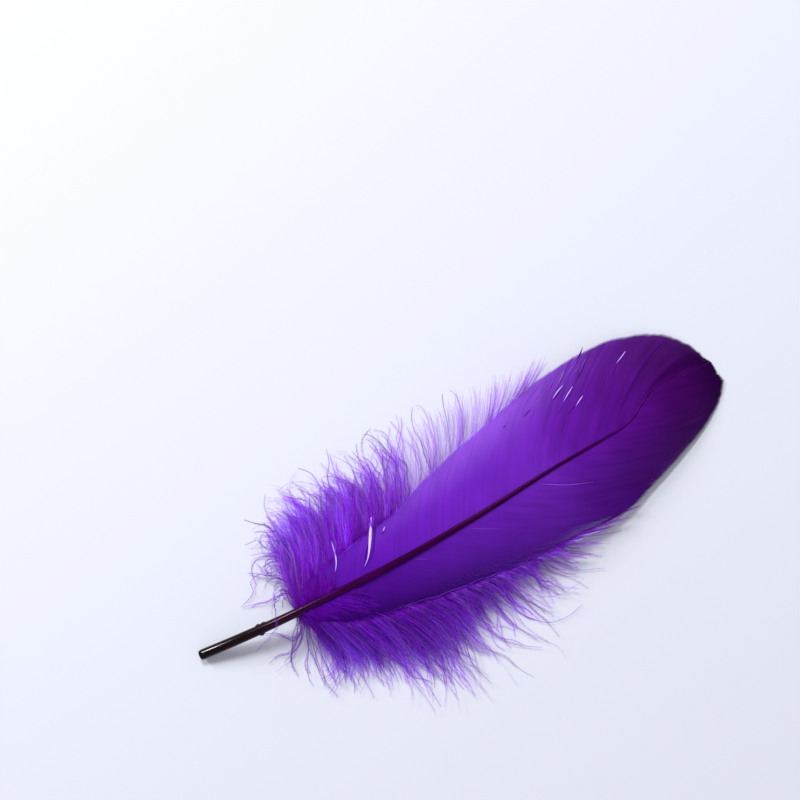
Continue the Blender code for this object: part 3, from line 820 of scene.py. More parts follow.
# threads given one by one, as they lie in the picture: root on the shaft, then places (along, side)
looseThreads = {
    "broad": [
        (33.0, [(35.6, 4.3), (35.3, 9.1), (33.7, 12.5), (31.3, 14.0), (29.2, 13.1)]),
        (33.0, [(35.3, 3.6), (33.7, 7.6), (31.3, 9.7), (28.6, 10.2), (26.8, 8.8)]),
        (33.2, [(36.2, 5.5), (35.9, 10.9), (34.4, 15.2), (31.9, 17.5), (29.2, 17.9)]),
        (33.0, [(35.0, 2.7), (33.1, 5.8), (30.7, 7.1), (28.6, 6.2), (27.7, 3.6)]),
        (33.2, [(35.9, 6.1), (35.0, 10.9), (32.8, 13.2), (30.1, 12.9), (28.0, 10.9)]),
        (33.4, [(37.1, 9.1), (36.8, 15.2), (35.3, 19.8), (32.8, 21.7), (30.1, 21.3)]),
        (33.6, [(37.7, 12.2), (38.0, 18.8), (36.8, 24.0), (34.0, 26.4), (31.0, 26.1)]),
        (33.0, [(34.4, 2.1), (32.2, 3.5), (30.1, 2.9), (28.9, 0.9)]),
        (33.4, [(36.8, 7.9), (35.6, 13.4), (33.1, 15.8), (30.7, 15.5), (29.5, 13.4), (30.7, 11.2)]),
        (33.0, [(35.3, 2.4), (34.7, 6.7), (32.5, 9.1), (29.2, 11.9), (25.5, 14.4), (24.3, 15.2)]),
        (33.0, [(35.0, 3.0), (34.0, 7.3), (31.9, 9.1), (29.8, 8.2), (28.9, 6.7)]),
        (33.2, [(35.9, 3.6), (33.1, 8.8), (30.4, 11.6), (28.0, 13.2), (25.2, 10.9), (22.8, 9.0),
                (20.1, 7.6), (17.6, 6.8)]),
        (33.0, [(34.4, 2.4), (31.3, 4.6), (28.6, 4.7), (25.5, 4.9), (22.5, 5.5), (20.4, 6.1), (18.2, 6.5)]),
        (33.0, [(34.0, 3.6), (31.6, 5.2), (28.9, 4.6), (27.2, 2.7), (26.4, 0.3), (25.7, -1.8),
                (24.4, -3.4), (21.6, -4.9),
                (18.2, -6.3), (15.6, -7.2)]),
        (33.0, [(34.4, 1.5), (32.8, 4.3), (30.7, 6.1), (30.4, 4.6), (31.3, 1.8), (31.9, -0.6)]),
        (33.3, [(36.5, 5.5), (35.3, 10.0), (33.4, 11.6), (31.0, 11.6), (29.2, 13.7), (28.3, 15.8),
                (27.7, 17.6)]),
        (32.0, [(37.1, 7.9), (35.9, 12.5), (33.4, 14.6), (31.0, 15.0), (28.9, 14.6)]),
        (32.2, [(37.7, 9.1), (36.2, 13.7), (33.4, 16.1), (30.4, 17.3), (27.7, 17.3), (25.8, 15.5),
                (25.1, 13.1), (24.9, 10.9)]),
        (32.4, [(37.1, 10.9), (35.6, 16.1), (32.8, 18.8), (31.9, 21.3), (31.6, 22.8), (29.8, 23.0),
                (27.4, 23.1)]),
        (32.6, [(38.0, 13.7), (36.8, 18.8), (35.3, 22.2), (33.4, 23.4), (32.1, 22.2), (32.5, 19.8),
                (34.4, 17.3), (35.3, 15.2)]),
        (33.0, [(38.6, 15.2), (37.7, 21.3), (35.6, 25.5), (32.8, 28.0), (30.7, 30.1)]),
        (33.4, [(39.8, 15.2), (39.5, 21.9), (38.0, 26.8), (38.3, 31.3), (40.1, 34.0)]),
        (34.0, [(41.6, 15.2), (42.0, 22.8), (40.4, 28.0), (37.7, 31.3)]),
        (35.0, [(43.8, 15.2), (44.4, 22.8), (45.9, 28.9), (45.0, 34.0), (42.6, 35.9)]),
        (37.0, [(46.8, 15.2), (48.0, 22.8), (46.8, 28.9), (48.6, 34.0), (51.7, 35.9)]),
        (39.0, [(51.7, 15.2), (53.5, 23.1), (55.9, 28.0), (55.3, 33.4), (52.6, 36.5)]),
        (42.0, [(57.2, 15.8), (59.3, 22.5), (59.0, 29.2), (62.0, 34.0), (62.9, 37.7)]),
        (46.0, [(63.2, 16.7), (66.0, 24.3), (68.7, 29.2), (67.8, 34.0), (64.8, 36.2)]),
        (50.0, [(69.3, 17.6), (71.7, 24.3), (71.7, 30.4), (74.2, 35.3), (77.8, 37.1)]),
        (55.0, [(74.2, 17.6), (77.5, 24.9), (80.9, 29.2), (80.9, 34.0), (78.4, 36.5)]),
        (60.0, [(79.6, 18.2), (82.7, 24.9), (83.3, 30.4), (86.0, 34.0), (86.6, 37.4)]),
        (68.0, [(88.2, 18.2), (88.8, 22.8), (89.7, 26.8), (89.4, 30.4), (90.3, 34.0), (92.1, 36.8)]),
        (72.0, [(92.1, 18.8), (93.3, 23.7), (93.9, 28.6), (94.8, 32.8), (94.5, 35.9), (93.3, 37.1)]),
        (76.0, [(96.1, 19.5), (98.2, 24.3), (99.7, 28.9), (100.9, 33.4), (102.1, 36.2)]),
        (80.0, [(100.9, 21.3), (104.0, 26.8), (105.2, 31.6), (105.5, 34.4), (104.6, 36.2)]),
        (84.0, [(105.2, 22.5), (108.2, 26.8), (110.4, 30.4), (111.3, 34.0)])],
    "narrow": [
        (33.0, [(32.5, -4.3), (30.7, -8.2), (28.0, -9.1), (24.3, -6.4), (21.3, -4.3), (18.8, -3.0)]),
        (33.0, [(32.2, -4.3), (28.6, -8.5), (25.5, -11.6), (23.7, -15.2), (23.4, -20.1)]),
        (33.0, [(32.8, -4.9), (28.6, -10.3), (24.6, -12.2), (20.7, -11.4), (17.3, -12.5)]),
        (33.0, [(32.8, -6.1), (28.6, -10.9), (24.0, -14.3), (20.7, -15.0), (17.9, -15.5)]),
        (33.0, [(33.1, -6.7), (30.1, -14.0), (27.1, -18.8), (26.1, -21.9), (26.4, -24.6)]),
        (33.2, [(33.7, -6.7), (31.9, -14.0), (30.7, -19.5), (30.2, -24.9), (31.3, -31.0)]),
        (33.2, [(34.4, -7.3), (33.4, -15.2), (32.5, -21.3), (33.1, -26.1), (35.9, -31.0)]),
        (32.0, [(35.6, -9.1), (37.4, -17.0), (38.0, -21.9), (36.8, -25.5), (34.0, -27.4)]),
        (32.4, [(37.1, -12.2), (38.9, -21.3), (40.1, -27.4), (41.0, -32.5)]),
        (33.0, [(41.3, -15.2), (44.1, -21.3), (44.4, -26.1), (42.0, -29.8), (37.7, -33.4)]),
        (33.0, [(39.5, -15.2), (42.0, -24.3), (44.4, -30.4), (46.5, -34.4)]),
        (34.0, [(48.0, -16.7), (52.0, -24.3), (52.9, -31.6), (52.3, -38.3)]),
        (35.0, [(52.3, -18.2), (55.9, -26.8), (54.7, -34.7), (50.2, -42.9)]),
        (36.0, [(55.3, -20.1), (59.9, -29.2), (59.0, -38.3), (56.2, -45.9)]),
        (37.0, [(57.2, -21.3), (62.0, -30.4), (62.9, -38.9), (60.8, -45.6), (58.7, -48.6)]),
        (37.0, [(55.9, -20.7), (61.1, -32.8), (64.4, -39.5), (66.3, -46.8)]),
        (38.0, [(59.6, -23.7), (64.8, -34.0), (64.4, -44.4), (61.9, -52.9)]),
        (40.0, [(66.3, -21.3), (69.9, -31.6), (69.9, -40.7), (72.4, -54.1)]),
        (41.0, [(71.7, -21.3), (73.6, -31.6), (72.4, -41.3), (74.8, -49.2)]),
        (41.0, [(70.5, -21.3), (74.2, -34.0), (73.6, -42.0), (71.1, -48.9)]),
        (42.0, [(70.5, -21.9), (75.1, -35.6), (79.3, -40.1), (82.1, -43.2), (84.2, -48.9), (87.2, -53.5)]),
        (43.0, [(74.2, -21.3), (77.2, -31.0), (79.3, -40.1), (81.5, -53.5)]),
        (45.0, [(77.2, -24.3), (81.8, -35.3), (85.4, -40.7), (89.4, -43.8), (93.3, -46.2)]),
        (49.0, [(83.9, -21.9), (89.4, -31.0), (92.4, -39.5), (96.1, -46.2)]),
        (50.0, [(85.1, -22.5), (90.9, -39.5), (95.2, -45.0), (97.9, -48.6), (98.5, -52.9)]),
        (53.0, [(90.6, -23.1), (96.1, -34.0), (98.5, -40.7), (99.7, -45.9)]),
        (52.0, [(88.2, -23.1), (94.2, -36.5), (99.1, -40.7), (104.6, -41.6), (110.4, -40.4)]),
        (56.0, [(94.2, -23.1), (100.6, -32.5), (105.2, -34.4), (110.0, -34.4), (114.9, -33.4)]),
        (60.0, [(99.1, -22.5), (105.5, -28.0), (107.9, -35.9), (110.4, -38.9)]),
        (54.0, [(92.4, -22.5), (97.6, -31.3), (102.4, -39.5)]),
        (64.0, [(103.4, -21.9), (109.7, -25.5), (113.7, -30.1), (121.6, -33.7)]),
        (67.0, [(106.4, -21.3), (113.1, -23.7), (119.2, -27.7)]),
        (62.0, [(101.5, -21.9), (107.6, -28.0), (111.9, -32.8), (114.3, -36.8)]),
        (72.0, [(113.1, -21.6), (119.8, -24.3), (126.5, -28.0)]),
        (70.0, [(110.0, -21.6), (116.7, -25.5), (122.2, -30.1)]),
        (76.0, [(118.0, -21.6), (124.0, -23.7), (131.3, -26.1)])],
}
# what both masses of down share, then both layers of threads and both collars
massDress = {"strands": 17, "rings": 12, "trim": 0.50, "belly": 0.8, "flare": 1.8, "curl": 1.0, "thick": 1.1,
             "fuzz": 1.0, "sliver": 0.08, "pale": (-0.3, 0.3), "toneSpread": 0.24}
threadDress = {"strands": 1, "rings": 30, "barbules": 190, "reach": (0.97, 1.0), "root": 1.4, "belly": 1.2,
               "flare": 2.4, "curl": 1.4, "thick": 1.8, "fuzz": 1.3, "sliver": 0.05, "pale": (-0.1, 0.5),
               "paleSpread": 0.24, "toneSpread": 0.3, "onEdge": 0.5, "fade": [(0.0, 1.0), (1.0, 1.0)]}
collarDress = {"fan": (0.0, 1.0), "crowd": 1.0, "rings": 12, "barbules": 24, "reach": (0.5, 1.0),
               "rootShare": 0.0, "curl": 0.5, "wave": 0.4, "thick": 1.0, "fuzz": 0.9, "sliver": 0.07,
               "pale": (-0.9, -0.1), "paleSpread": 0.1, "toneSpread": 0.25, "onEdge": 0.0}
# each layer: its place in the fan and how it crowds there, its locks and the strands in each, how far the
# strands reach along their lock, how much they part at the root (root, rootShare), in the middle (belly)
# and at the tip (flare), how thick and fuzzy they are, and how light and pale. Trim shortens some locks,
# fade shortens strands by their place in the fan, and onEdge is the share that runs on from a barb's end.
layers = {
    "broadMass": dict(massDress, side="broad", seed=21, fan=(0.22, 0.57), crowd=1.0, locks=140, barbules=24,
                      reach=(0.50, 1.0), root=1.2, rootShare=0.14, wave=0.9, onEdge=0.5, paleSpread=0.24,
                      fade=[(0.0, 1.0), (0.46, 1.0), (0.52, 0.80), (0.57, 0.50), (1.0, 0.3)], brighter=0.14),
    "broadThreads": dict(threadDress, side="broad", seed=22, fan=(0.16, 0.61), crowd=1.1, locks=180,
                         trim=0.40, rootShare=0.1, wave=1.1, brighter=0.12),
    "broadFringe": dict(threadDress, side="broad", seed=23, fan=(0.52, 1.0), crowd=1.0, locks=300, rings=20,
                        barbules=40, trim=0.42, reach=(0.95, 1.0), root=0.8, rootShare=0.02, belly=0.6,
                        flare=1.2, curl=0.8, wave=0.25, thick=0.78, fuzz=0.62, sliver=0.06,
                        pale=(0.65, 1.0), paleSpread=0.15, toneSpread=0.35, onEdge=0.85, brighter=0.12),
    "narrowMass": dict(massDress, side="narrow", seed=34, fan=(0.22, 0.94), crowd=1.1, locks=165,
                       barbules=22, reach=(0.45, 0.95), root=1.3, rootShare=0.1, wave=0.6, onEdge=0.45,
                       fade=[(0.0, 1.0), (0.5, 1.0), (0.66, 0.82), (0.78, 0.46), (1.0, 0.28)],
                       paleSpread=0.22, brighter=0.05),
    "narrowThreads": dict(threadDress, side="narrow", seed=35, fan=(0.16, 1.0), crowd=1.45, locks=200,
                          trim=0.45, rootShare=0.08, wave=1.0, brighter=0.05),
    # its lowered tone (brighter below 0) is painted shade of the dense down by the quill
    "broadCollar": dict(collarDress, side="broad", seed=41, over=broadCollar, locks=110, strands=5,
                        trim=0.62, root=1.4, belly=0.6, flare=1.4, fade=[(0.0, 1.0), (1.0, 1.0)],
                        brighter=-0.30),
    "narrowCollar": dict(collarDress, side="narrow", seed=42, over=narrowCollar, locks=140, strands=6,
                         trim=0.55, root=3.4, belly=0.7, flare=1.6,
                         fade=[(0.0, 1.0), (0.6, 1.0), (1.0, 0.7)], brighter=-0.16),
}
looseDress = {
    "seed": 61, "rings": 44, "barbules": 130, "thick": 1.5, "fuzz": 1.15, "sliver": 0.045,
    "pale": (-0.1, 0.35), "paleSpread": 0.15, "toneSpread": 0.2, "brighter": -0.24,
    "companions": 3,         # strands laid for each thread, the first of them as it is
    "apart": 0.55,
    "shares": (0.6, 0.95),   # how much of the thread the other companions follow
    "rootDepth": 0.4,
    "tipHeights": (0.3, 2.4),
    "fall": 0.85,            # share of its length over which a thread comes down
    "lowest": 0.1,
    "bareQuill": 29.0,       # before this place threads keep clear of the quill
    "clearance": 0.25,
    "clearBeside": 1.2,
}
strands = {
    "halfWidth": 0.07,
    "thinnest": 0.5,         # width at the strand's end, as a share of that at its root
    "roll": 0.8,             # how far strands are rolled about their own line, in radians
    "twist": 2.5,
    "toneSpread": 0.1,       # beside the spread of their locks
    "rootShade": 0.38,       # less light gets to roots under the vane
    "shadeFrom": (0.85, 0.40),   # this much more at the fan's start, up to this place in it
    "steps": 49,             # points of each strand's path
}
barbule = {
    "length": 1.1,
    "lengths": (0.5, 1.3),   # least and most, as a share of that length
    "shorter": 0.6,          # by this share at the strand's end
    "lean": 36.0,            # degrees from the strand
    "leans": (0.6, 1.4),
    "rise": 0.7,             # up or down at most, in radians
    "scatter": 0.8,          # along the strand, in steps
    "pale": 0.25,            # how much paler they are than their strand
}
lay = {
    "lockScatter": 0.3,      # along the fan, as a share of the distance between locks
    "clumping": 0.55,        # draws locks together and leaves gaps between the clumps
    "tipScatter": 0.4,
    "trimPower": 0.6,
    "curls": (0.2, 1.4),     # least and most, as a share of the side's curl
    # strands are calmer by this share towards the feather's tip, from this place in the fan, over this far
    "calm": (0.8, 0.55, 0.4),
    "rootScatter": 0.5,
    "firstRoot": 32.6,
    "edgeShares": (0.93, 1.0),   # where strands that run on from a barb's end start on it
    "edgeRise": 0.14,
    "rootDepths": (0.05, 0.5),   # how far below their barb the other strands start
    "joining": 1.6,          # how fast strands close up after the root and part before the tip
    "parting": 3.5,
    "waves": (0.2, 1.3),     # least and most, as a share of the layer's wave
    "turns": (1, 3),         # how many waves a strand has
    "tipHeights": (0.15, 2.2),   # least, and the spread above it
    "keptHeight": 0.55,      # share of its root's height that a held strand's tip keeps
    "falls": (0.75, 1.15),   # share of its length over which a strand comes down
    "sags": (-1.8, 0.8),
    "lowest": 0.08,
    "overRise": 0.9,         # how far collar strands stand up at most
}
# small openings in the broad side's down: middle (along, side), then half its width and length
openings = [(60.5, 16.4, 1.2, 2.7), (74.2, 24.9, 1.5, 2.1), (77.5, 24.3, 1.2, 1.8), (65.7, 28.0, 0.9, 1.5),
            (70.2, 21.9, 0.9, 2.0), (51.7, 11.2, 0.9, 2.7), (36.2, 19.2, 1.1, 2.7), (41.6, 21.9, 0.9, 2.1)]


def besideVane(places, heights, over):
    # keeps strands under the vanes, or over them for the collar at their base
    vane = shelfHeights(places)
    if over:
        held = np.where(np.isnan(vane), heights, np.maximum(heights, vane + shelf["over"]))
    else:
        held = np.where(np.isnan(vane), heights, np.minimum(heights, vane - shelf["under"]))
    soft = np.pad(held, ((0, 0), (2, 2)), mode="edge")
    return (soft[:, :-4] + 2 * soft[:, 1:-3] + 3 * soft[:, 2:-2] + 2 * soft[:, 3:-1] + soft[:, 4:]) / 9


def clearOfQuill(places, heights):
    # loose threads pass over the bare quill, not through it
    quillMiddle = shaftSpots(places[..., 0])
    radius = through(shaftRadii, places[..., 0])
    away = np.abs(places[..., 1] - quillMiddle[..., 1]) / (radius + looseDress["clearBeside"])
    near = np.clip(1.25 - away, 0, 1)
    top = quillMiddle[..., 2] + radius + looseDress["clearance"]
    held = np.maximum(heights, top * np.minimum(near * 2, 1))
    return np.where(places[..., 0] < looseDress["bareQuill"], held, heights)


def lockCurves(start, tip, turn, curl):
    # each lock's heading changes along it, then the curve is turned and stretched to its tip
    t = np.linspace(0, 1, strands["steps"])[None, :]
    heading = np.radians(turn[:, None] * (t - 0.5) + curl[:, None] * t ** 3)
    curve = np.cumsum(np.exp(1j * heading), axis=1)
    curve = (curve - curve[:, :1]) / (curve[:, -1:] - curve[:, :1])
    span = (tip[:, 0] - start[:, 0]) + 1j * (tip[:, 1] - start[:, 1])
    return curve * span[:, None]


def partStrands(places):
    # strands that would cross an opening go round it
    for along, side, halfWidth, halfLength in openings:
        away = (places - np.array([along, side])) / np.array([halfWidth, halfLength])
        distance = np.linalg.norm(away, axis=-1, keepdims=True)
        places = places + away * np.array([halfWidth, 0.0]) * np.exp(-distance ** 2) / (distance + 0.25)
    return places


def fanValues(fan, at):
    steps = np.linspace(0, 1, len(fan))
    knots = [(step,) + tuple(row) for step, row in zip(steps, fan)]
    return [through(knots, at, column) for column in range(1, 5)]


def strandStarts(side, root, share):
    onBarb = barbSpots(side["guides"], np.maximum(root, 34.0), share)
    return np.where((share > 0.02)[:, None], onBarb, shaftSpots(root))


def layLocks(layer, side, chance):
    # each lock's curve, from its barb to its place at the fan's outer edge
    locks = layer["locks"]
    low, high = layer["fan"]
    fan = low + (high - low) * np.linspace(0, 1, locks) ** layer["crowd"]
    fan = fan + chance.normal(0, lay["lockScatter"] / locks, locks)
    clumps = 2 * np.pi * side["clumps"]
    fan = np.clip(fan + lay["clumping"] * np.sin(clumps * fan) / clumps, 0, 1)
    root, share, tipAlong, tipSide = fanValues(layer.get("over") or side["fan"], fan)
    start = strandStarts(side, root, share)
    tip = np.stack([tipAlong, tipSide, 0 * fan], axis=-1)
    tip[:, :2] += chance.normal(0, lay["tipScatter"], (locks, 2)) * through(side["spread"], fan)[:, None]
    trim = layer["trim"] * chance.uniform(0, 1, locks) ** lay["trimPower"]
    tip = start + (tip - start) * (1 - trim)[:, None]
    turn = through(side["turn"], fan) + chance.normal(0, 1, locks) * through(side["unrest"], fan)
    curl = through(side["curl"], fan) * chance.uniform(*lay["curls"], locks) * layer["curl"]
    return fan, root, share, start, lockCurves(start, tip, turn, curl)


def rootStrands(layer, side, root, share, chance):
    # where each strand starts, and which of them run on from the vane's edge
    count = len(root)
    ownRoot = root + chance.normal(0, lay["rootScatter"], count) * layer["root"]
    ownShare = share + layer["rootShare"] * chance.normal(0, 1, count) * (share > 0.05)
    onEdge = (share > 0.3) & (chance.random(count) < layer["onEdge"])
    ownShare = np.where(onEdge, chance.uniform(*lay["edgeShares"], count), np.clip(ownShare, 0, 0.98))
    start = strandStarts(side, np.maximum(ownRoot, lay["firstRoot"]), ownShare)
    start[:, 2] += np.where(onEdge, lay["edgeRise"], -chance.uniform(*lay["rootDepths"], count))
    return start, onEdge


def bendStrands(layer, curves, apart, fan, t, chance):
    # strands run together along their lock's curve and part again towards their tips
    count = len(t)
    steps = np.linspace(0, 1, strands["steps"])
    share, since, over = lay["calm"]
    calm = 1 - share * easeIn((fan - since) / over)
    spine = np.stack([np.interp(t[i], steps, curves[i]) for i in range(count)])
    across = spine[:, -1:] / np.maximum(np.abs(spine[:, -1:]), 1e-6) * 1j
    belly = chance.normal(0, 1, count) * layer["belly"] * calm
    flare = (chance.normal(0, 1, count) + 0.5j * chance.normal(0, 1, count)) * layer["flare"] * calm
    wave = layer["wave"] * chance.uniform(*lay["waves"], count)[:, None] * calm[:, None]
    turns = chance.uniform(*lay["turns"], count)[:, None] * t + chance.uniform(0, 1, count)[:, None]
    flat = spine + apart[:, None] * (1 - t) ** lay["joining"]
    return flat + across * (belly[:, None] * np.sin(np.pi * t) + wave * np.sin(2 * np.pi * turns) * t
                            + flare[:, None] * t ** lay["parting"])


def dropStrands(layer, side, fan, places, start, onEdge, t, chance):
    # the heights of the strands, which come down towards the floor at their tips
    count = len(t)
    over = "over" in layer
    least, spread = lay["tipHeights"]
    heldUp = easeIn((fan - side["liftFrom"]) / (1 - side["liftFrom"]))
    kept = lay["keptHeight"] * start[:, 2] * (1.0 if over else heldUp)
    tipHeight = least + chance.uniform(0, spread, count) + kept
    fall = easeIn(t / chance.uniform(*lay["falls"], count)[:, None])
    sag = chance.uniform(*lay["sags"], count)[:, None] * np.sin(np.pi * t) * (1 - heldUp[:, None])
    height = start[:, 2:3] + (tipHeight - start[:, 2])[:, None] * fall + sag
    height = np.where(onEdge[:, None], height, besideVane(places, height, over))
    height = np.maximum(height, lay["lowest"])
    if over:
        height += chance.uniform(0, lay["overRise"], count)[:, None] * np.sin(np.pi * t)
    return height


def layStrands(layer, chance):
    side = sides[layer["side"]]
    fan, root, share, lockStart, curves = layLocks(layer, side, chance)
    own = np.repeat(np.arange(layer["locks"]), layer["strands"])
    fan, lockStart = fan[own], lockStart[own]
    start, onEdge = rootStrands(layer, side, root[own], share[own], chance)
    reach = chance.uniform(*layer["reach"], len(own)) * through(layer["fade"], fan)
    t = np.linspace(0, 1, strands["steps"])[None, :] * reach[:, None]
    apart = (start - lockStart)[:, 0] + 1j * (start - lockStart)[:, 1]
    flat = bendStrands(layer, curves[own], apart, fan, t, chance)
    places = partStrands(lockStart[:, None, :2] + np.stack([flat.real, flat.imag], axis=-1))
    height = dropStrands(layer, side, fan, places, start, onEdge, t, chance)
    more, upTo = strands["shadeFrom"]
    shade = strands["rootShade"] * ~onEdge + more * easeIn(1 - fan / upTo) * ("over" not in layer)
    return np.concatenate([places, height[..., None]], axis=-1), own, shade


def layLoose(chance):
    # each listed thread and its companions, from the shaft to its tip
    paths, own = [], []
    steps = strands["steps"]
    t = np.linspace(0, 1, steps)
    for number, (root, points) in enumerate(looseThreads["broad"] + looseThreads["narrow"]):
        start = shaftSpots(np.array(root))
        for companion in range(looseDress["companions"]):
            shift = looseDress["apart"] * chance.normal(0, 1, (len(points), 2)) * (companion > 0)
            short = 1 if companion == 0 else chance.uniform(*looseDress["shares"])
            flat = curveThrough(np.concatenate([[start[:2]], np.array(points) + shift]), 4 * steps)
            flat = flat[np.linspace(0, short * (len(flat) - 1), steps).astype(int)]
            drop = chance.uniform(*looseDress["tipHeights"]) - start[2]
            height = start[2] - looseDress["rootDepth"] + drop * easeIn(t / looseDress["fall"])
            height = besideVane(flat[None], height[None], False)[0]
            height = clearOfQuill(flat, np.maximum(height, looseDress["lowest"]))
            paths.append(np.concatenate([flat, height[:, None]], axis=-1))
            own.append(number)
    return np.stack(paths), np.array(own), np.full(len(own), strands["rootShade"])


def barbules(paths, forward, side, up, layer, chance):
    # slender triangles that lean forward on both sides of each strand
    count, steps = paths.shape[:2]
    number = layer["barbules"]
    scatter, steepest = barbule["scatter"], barbule["rise"]
    at = np.tile(np.linspace(2, steps - 2, number), (count, 2))
    at = np.clip(at + chance.uniform(-scatter, scatter, (count, 2 * number)), 0, steps - 1.01)
    low, part = at.astype(int)[..., None], (at % 1)[..., None]
    base = np.take_along_axis(paths, low, axis=1) * (1 - part)
    base = base + np.take_along_axis(paths, low + 1, axis=1) * part
    ahead, out, over = [np.take_along_axis(way, low, axis=1) for way in (forward, side, up)]
    sign = np.repeat([1.0, -1.0], number)[None, :, None]
    rise = chance.uniform(-steepest, steepest, at.shape)[..., None]
    lean = np.radians(barbule["lean"] * chance.uniform(*barbule["leans"], at.shape))[..., None]
    length = barbule["length"] * layer["fuzz"] * chance.uniform(*barbule["lengths"], at.shape)[..., None]
    length = length * (1 - barbule["shorter"] * at[..., None] / steps)
    aside = sign * out * np.cos(rise) + over * np.sin(rise)
    way = ahead * np.cos(lean) + aside * np.sin(lean)
    corners = np.stack([base, base + ahead * layer["sliver"], base + way * length], axis=2)
    return corners, at / steps


def strandMarks(layer, own, shade, reach, parts, chance):
    # tone is how light the dye is, less the painted shade near the roots, pale how thin it is; parts are the
    # corners of each strand's ribbon and of its barbules, and reach is how far along the strand each corner
    # lies
    count = len(own)
    tone = 0.5 + layer["toneSpread"] * chance.normal(0, 1, own.max() + 1)[own]
    tone = tone + strands["toneSpread"] * chance.normal(0, 1, count) + layer["brighter"]
    faded = layer["paleSpread"] * chance.normal(0, 1, count)
    tone, shade, faded = [np.concatenate([np.repeat(values, part) for part in parts])
                          for values in (tone, shade, faded)]
    root, tip = layer["pale"]
    pale = root + (tip - root) * reach + faded
    pale[count * parts[0]:] += barbule["pale"]
    # painted shade: the tone falls towards the root by the strand's shade
    return {"tone": np.clip(tone - shade * (1 - reach) ** 2, 0, 1), "pale": np.clip(pale, 0, 1)}


def dressStrands(name, layer, paths, own, shade, chance):
    # each strand is a slowly twisting ribbon, finer than a hair, with barbules along it
    count, steps = paths.shape[:2]
    forward = unit(np.gradient(paths, axis=1))
    side = unit(np.stack([-forward[..., 1], forward[..., 0], 0 * forward[..., 0]], axis=-1))
    up = np.cross(forward, side)
    at = np.linspace(0, steps - 1, layer["rings"]).round().astype(int)
    t = np.broadcast_to(at / (steps - 1), (count, len(at)))
    roll = strands["roll"] * chance.normal(0, 1, (count, 1))
    roll = roll + strands["twist"] * chance.normal(0, 1, (count, 1)) * t
    width = strands["halfWidth"] * layer["thick"] * (1 - (1 - strands["thinnest"]) * t)
    edge = (side[:, at] * np.cos(roll)[..., None] + up[:, at] * np.sin(roll)[..., None]) * width[..., None]
    ribbons = np.stack([paths[:, at] - edge, paths[:, at] + edge], axis=2)
    slivers, sliverAt = barbules(paths, forward, side, up, layer, chance)
    low = (np.arange(count)[:, None] * len(at) + np.arange(len(at) - 1)).ravel() * 2
    faces = [np.stack([low, low + 1, low + 3, low + 2], axis=-1)]
    faces.append(ribbons.size // 3 + np.arange(slivers.size // 3).reshape(-1, 3))
    cloud = np.concatenate([ribbons.reshape(-1, 3), slivers.reshape(-1, 3)])
    cloud[:, 2] = np.maximum(cloud[:, 2], lie["clearance"])
    reach = np.concatenate([np.repeat(t, 2), np.repeat(sliverAt, 3)])
    marks = strandMarks(layer, own, shade, reach, (len(at) * 2, sliverAt.shape[1] * 3), chance)
    makePiece(name, cloud, faces, downFinish[layer.get("side", "broad")], marks)


def makeDown(name, layer):
    chance = np.random.default_rng(layer["seed"])
    dressStrands(name, layer, *layStrands(layer, chance), chance)


def makeLoose():
    chance = np.random.default_rng(looseDress["seed"])
    dressStrands("looseThreads", looseDress, *layLoose(chance), chance)


# Floor, light and camera

studio = {
    "floorColour": (0.79, 0.83, 0.92),
    "floorSize": 6.0,
    "floorRoughness": 0.9,
    "floorSpecular": 0.1,
    "skyColour": (0.97, 0.92, 1.0),
    "skyStrength": 0.43,
    # colour, power, width, height, distance, elevation, degrees turned from the picture's top, roll
    "lights": {"key": ((0.97, 0.985, 0.97), 12.4, 0.36, 0.36, 1.5, 52.0, -20.0, 0.0),
               "side": ((1.0, 1.0, 1.0), 5.8, 0.052, 0.52, 1.31, 29.5, -61.5, -30.0),
               "glint": ((1.0, 0.86, 0.95), 2.8, 0.04, 0.34, 1.31, 32.2, -51.6, -30.0)},
}
picture = {
    "width": 800.0,
    "quillPixel": (201.9, 652.9),
    "quillAlong": 0.6,       # millimetres from the quill's end at that pixel
    "tipPixel": (720.2, 383.2),
    "tipAlong": 178.8,
    "lens": 135.0,
    "sensor": 36.0,
}


def pictureFrame():
    # the scale and turn that put the feather where the picture has it
    across = picture["tipPixel"][0] - picture["quillPixel"][0]
    rise = picture["quillPixel"][1] - picture["tipPixel"][1]
    angle = math.atan2(rise, across)
    perPixel = (picture["tipAlong"] - picture["quillAlong"]) * mm / math.hypot(across, rise)
    right = Vector((math.cos(angle), -math.sin(angle), 0.0))
    up = Vector((math.sin(angle), math.cos(angle), 0.0))
    quillSpot = Vector((picture["quillAlong"] - lie["length"] / 2, -lie["sideCentre"], 0.0)) * mm
    middle = picture["width"] / 2
    toMiddle = right * (middle - picture["quillPixel"][0]) + up * (picture["quillPixel"][1] - middle)
    return perPixel, right, up, quillSpot + toMiddle * perPixel


def addCamera():
    perPixel, right, up, centre = pictureFrame()
    data = bpy.data.cameras.new("camera")
    data.lens = picture["lens"]
    data.sensor_width = picture["sensor"]
    data.clip_start, data.clip_end = 0.01, 20.0
    camera = bpy.data.objects.new("camera", data)
    bpy.context.scene.collection.objects.link(camera)
    distance = perPixel * picture["width"] * picture["lens"] / picture["sensor"]
    turn = Matrix((right, up, right.cross(up))).transposed()
    camera.matrix_world = Matrix.Translation(centre + Vector((0, 0, distance))) @ turn.to_4x4()
    bpy.context.scene.camera = camera


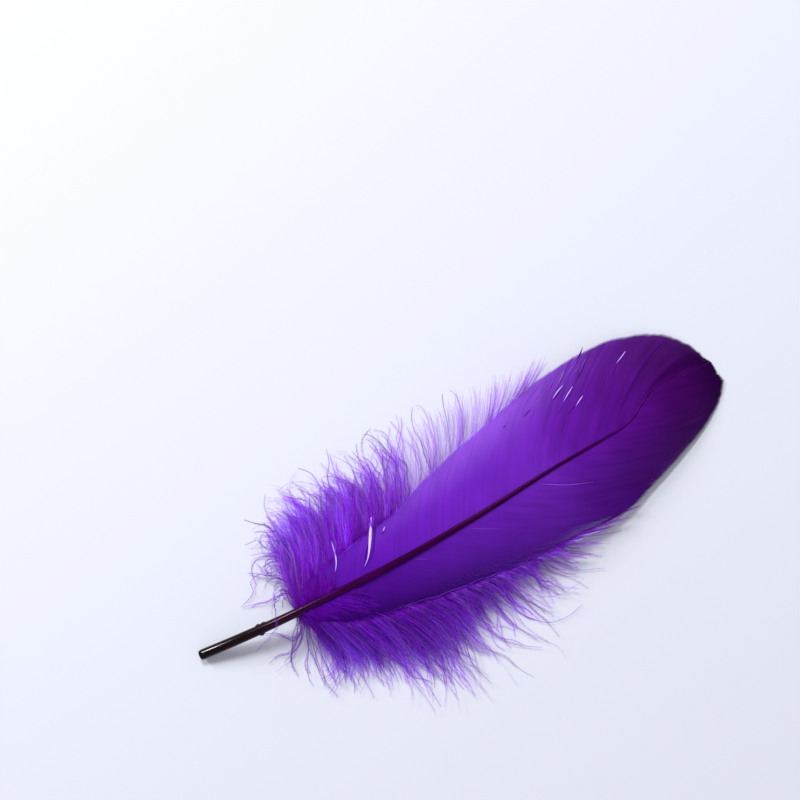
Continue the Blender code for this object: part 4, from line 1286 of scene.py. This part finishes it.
def addFloor():
    half = studio["floorSize"] / 2
    mesh = bpy.data.meshes.new("floor")
    corners = [(-half, -half, 0), (half, -half, 0), (half, half, 0), (-half, half, 0)]
    mesh.from_pydata(corners, [], [(0, 1, 2, 3)])
    material = bpy.data.materials.new("paleFloor")
    nodes, links = nodesOf(material)
    shader = nodes["Principled BSDF"]
    shader.inputs["Base Color"].default_value = (*studio["floorColour"], 1.0)
    shader.inputs["Roughness"].default_value = studio["floorRoughness"]
    shader.inputs["Specular IOR Level"].default_value = studio["floorSpecular"]
    mesh.materials.append(material)
    floor = bpy.data.objects.new("floor", mesh)
    bpy.context.scene.collection.objects.link(floor)


def addLight(name, colour, power, width, height, distance, elevation, fromTop, roll):
    perPixel, right, up, centre = pictureFrame()
    data = bpy.data.lights.new(name, "AREA")
    data.shape = "ELLIPSE"
    data.size, data.size_y = width, height
    data.energy = power
    data.color = colour
    lamp = bpy.data.objects.new(name, data)
    bpy.context.scene.collection.objects.link(lamp)
    aside = math.radians(fromTop)
    level = up * math.cos(aside) + right * math.sin(aside)
    rise = math.radians(elevation)
    towards = level * math.cos(rise) + Vector((0, 0, 1)) * math.sin(rise)
    lamp.location = centre + towards * distance
    turn = towards.to_track_quat("Z", "Y") @ Quaternion((0, 0, 1), math.radians(roll))
    lamp.rotation_euler = turn.to_euler()


def addSky():
    world = bpy.data.worlds.new("studioSky")
    world.use_nodes = True
    background = world.node_tree.nodes["Background"]
    background.inputs["Color"].default_value = (*studio["skyColour"], 1.0)
    background.inputs["Strength"].default_value = studio["skyStrength"]
    bpy.context.scene.world = world
    bpy.context.scene.view_settings.view_transform = "Standard"


addCamera()
addFloor()
for name, light in studio["lights"].items():
    addLight(name, *light)
addSky()
print("camera, floor and light set")

vaneFinish = webbedFinish("vaneBarbs", vaneLook)
downFinish = {"broad": webbedFinish("broadStrands", downLook),
              "narrow": webbedFinish("narrowStrands", narrowDownLook)}
makeQuill()
makeCrust()
for vane in vanes.values():
    makeVane(vane)
for name, group in slitGroups.items():
    makeSlits(name, group)
for name, layer in layers.items():
    makeDown(name, layer)
makeLoose()
print("feather made")
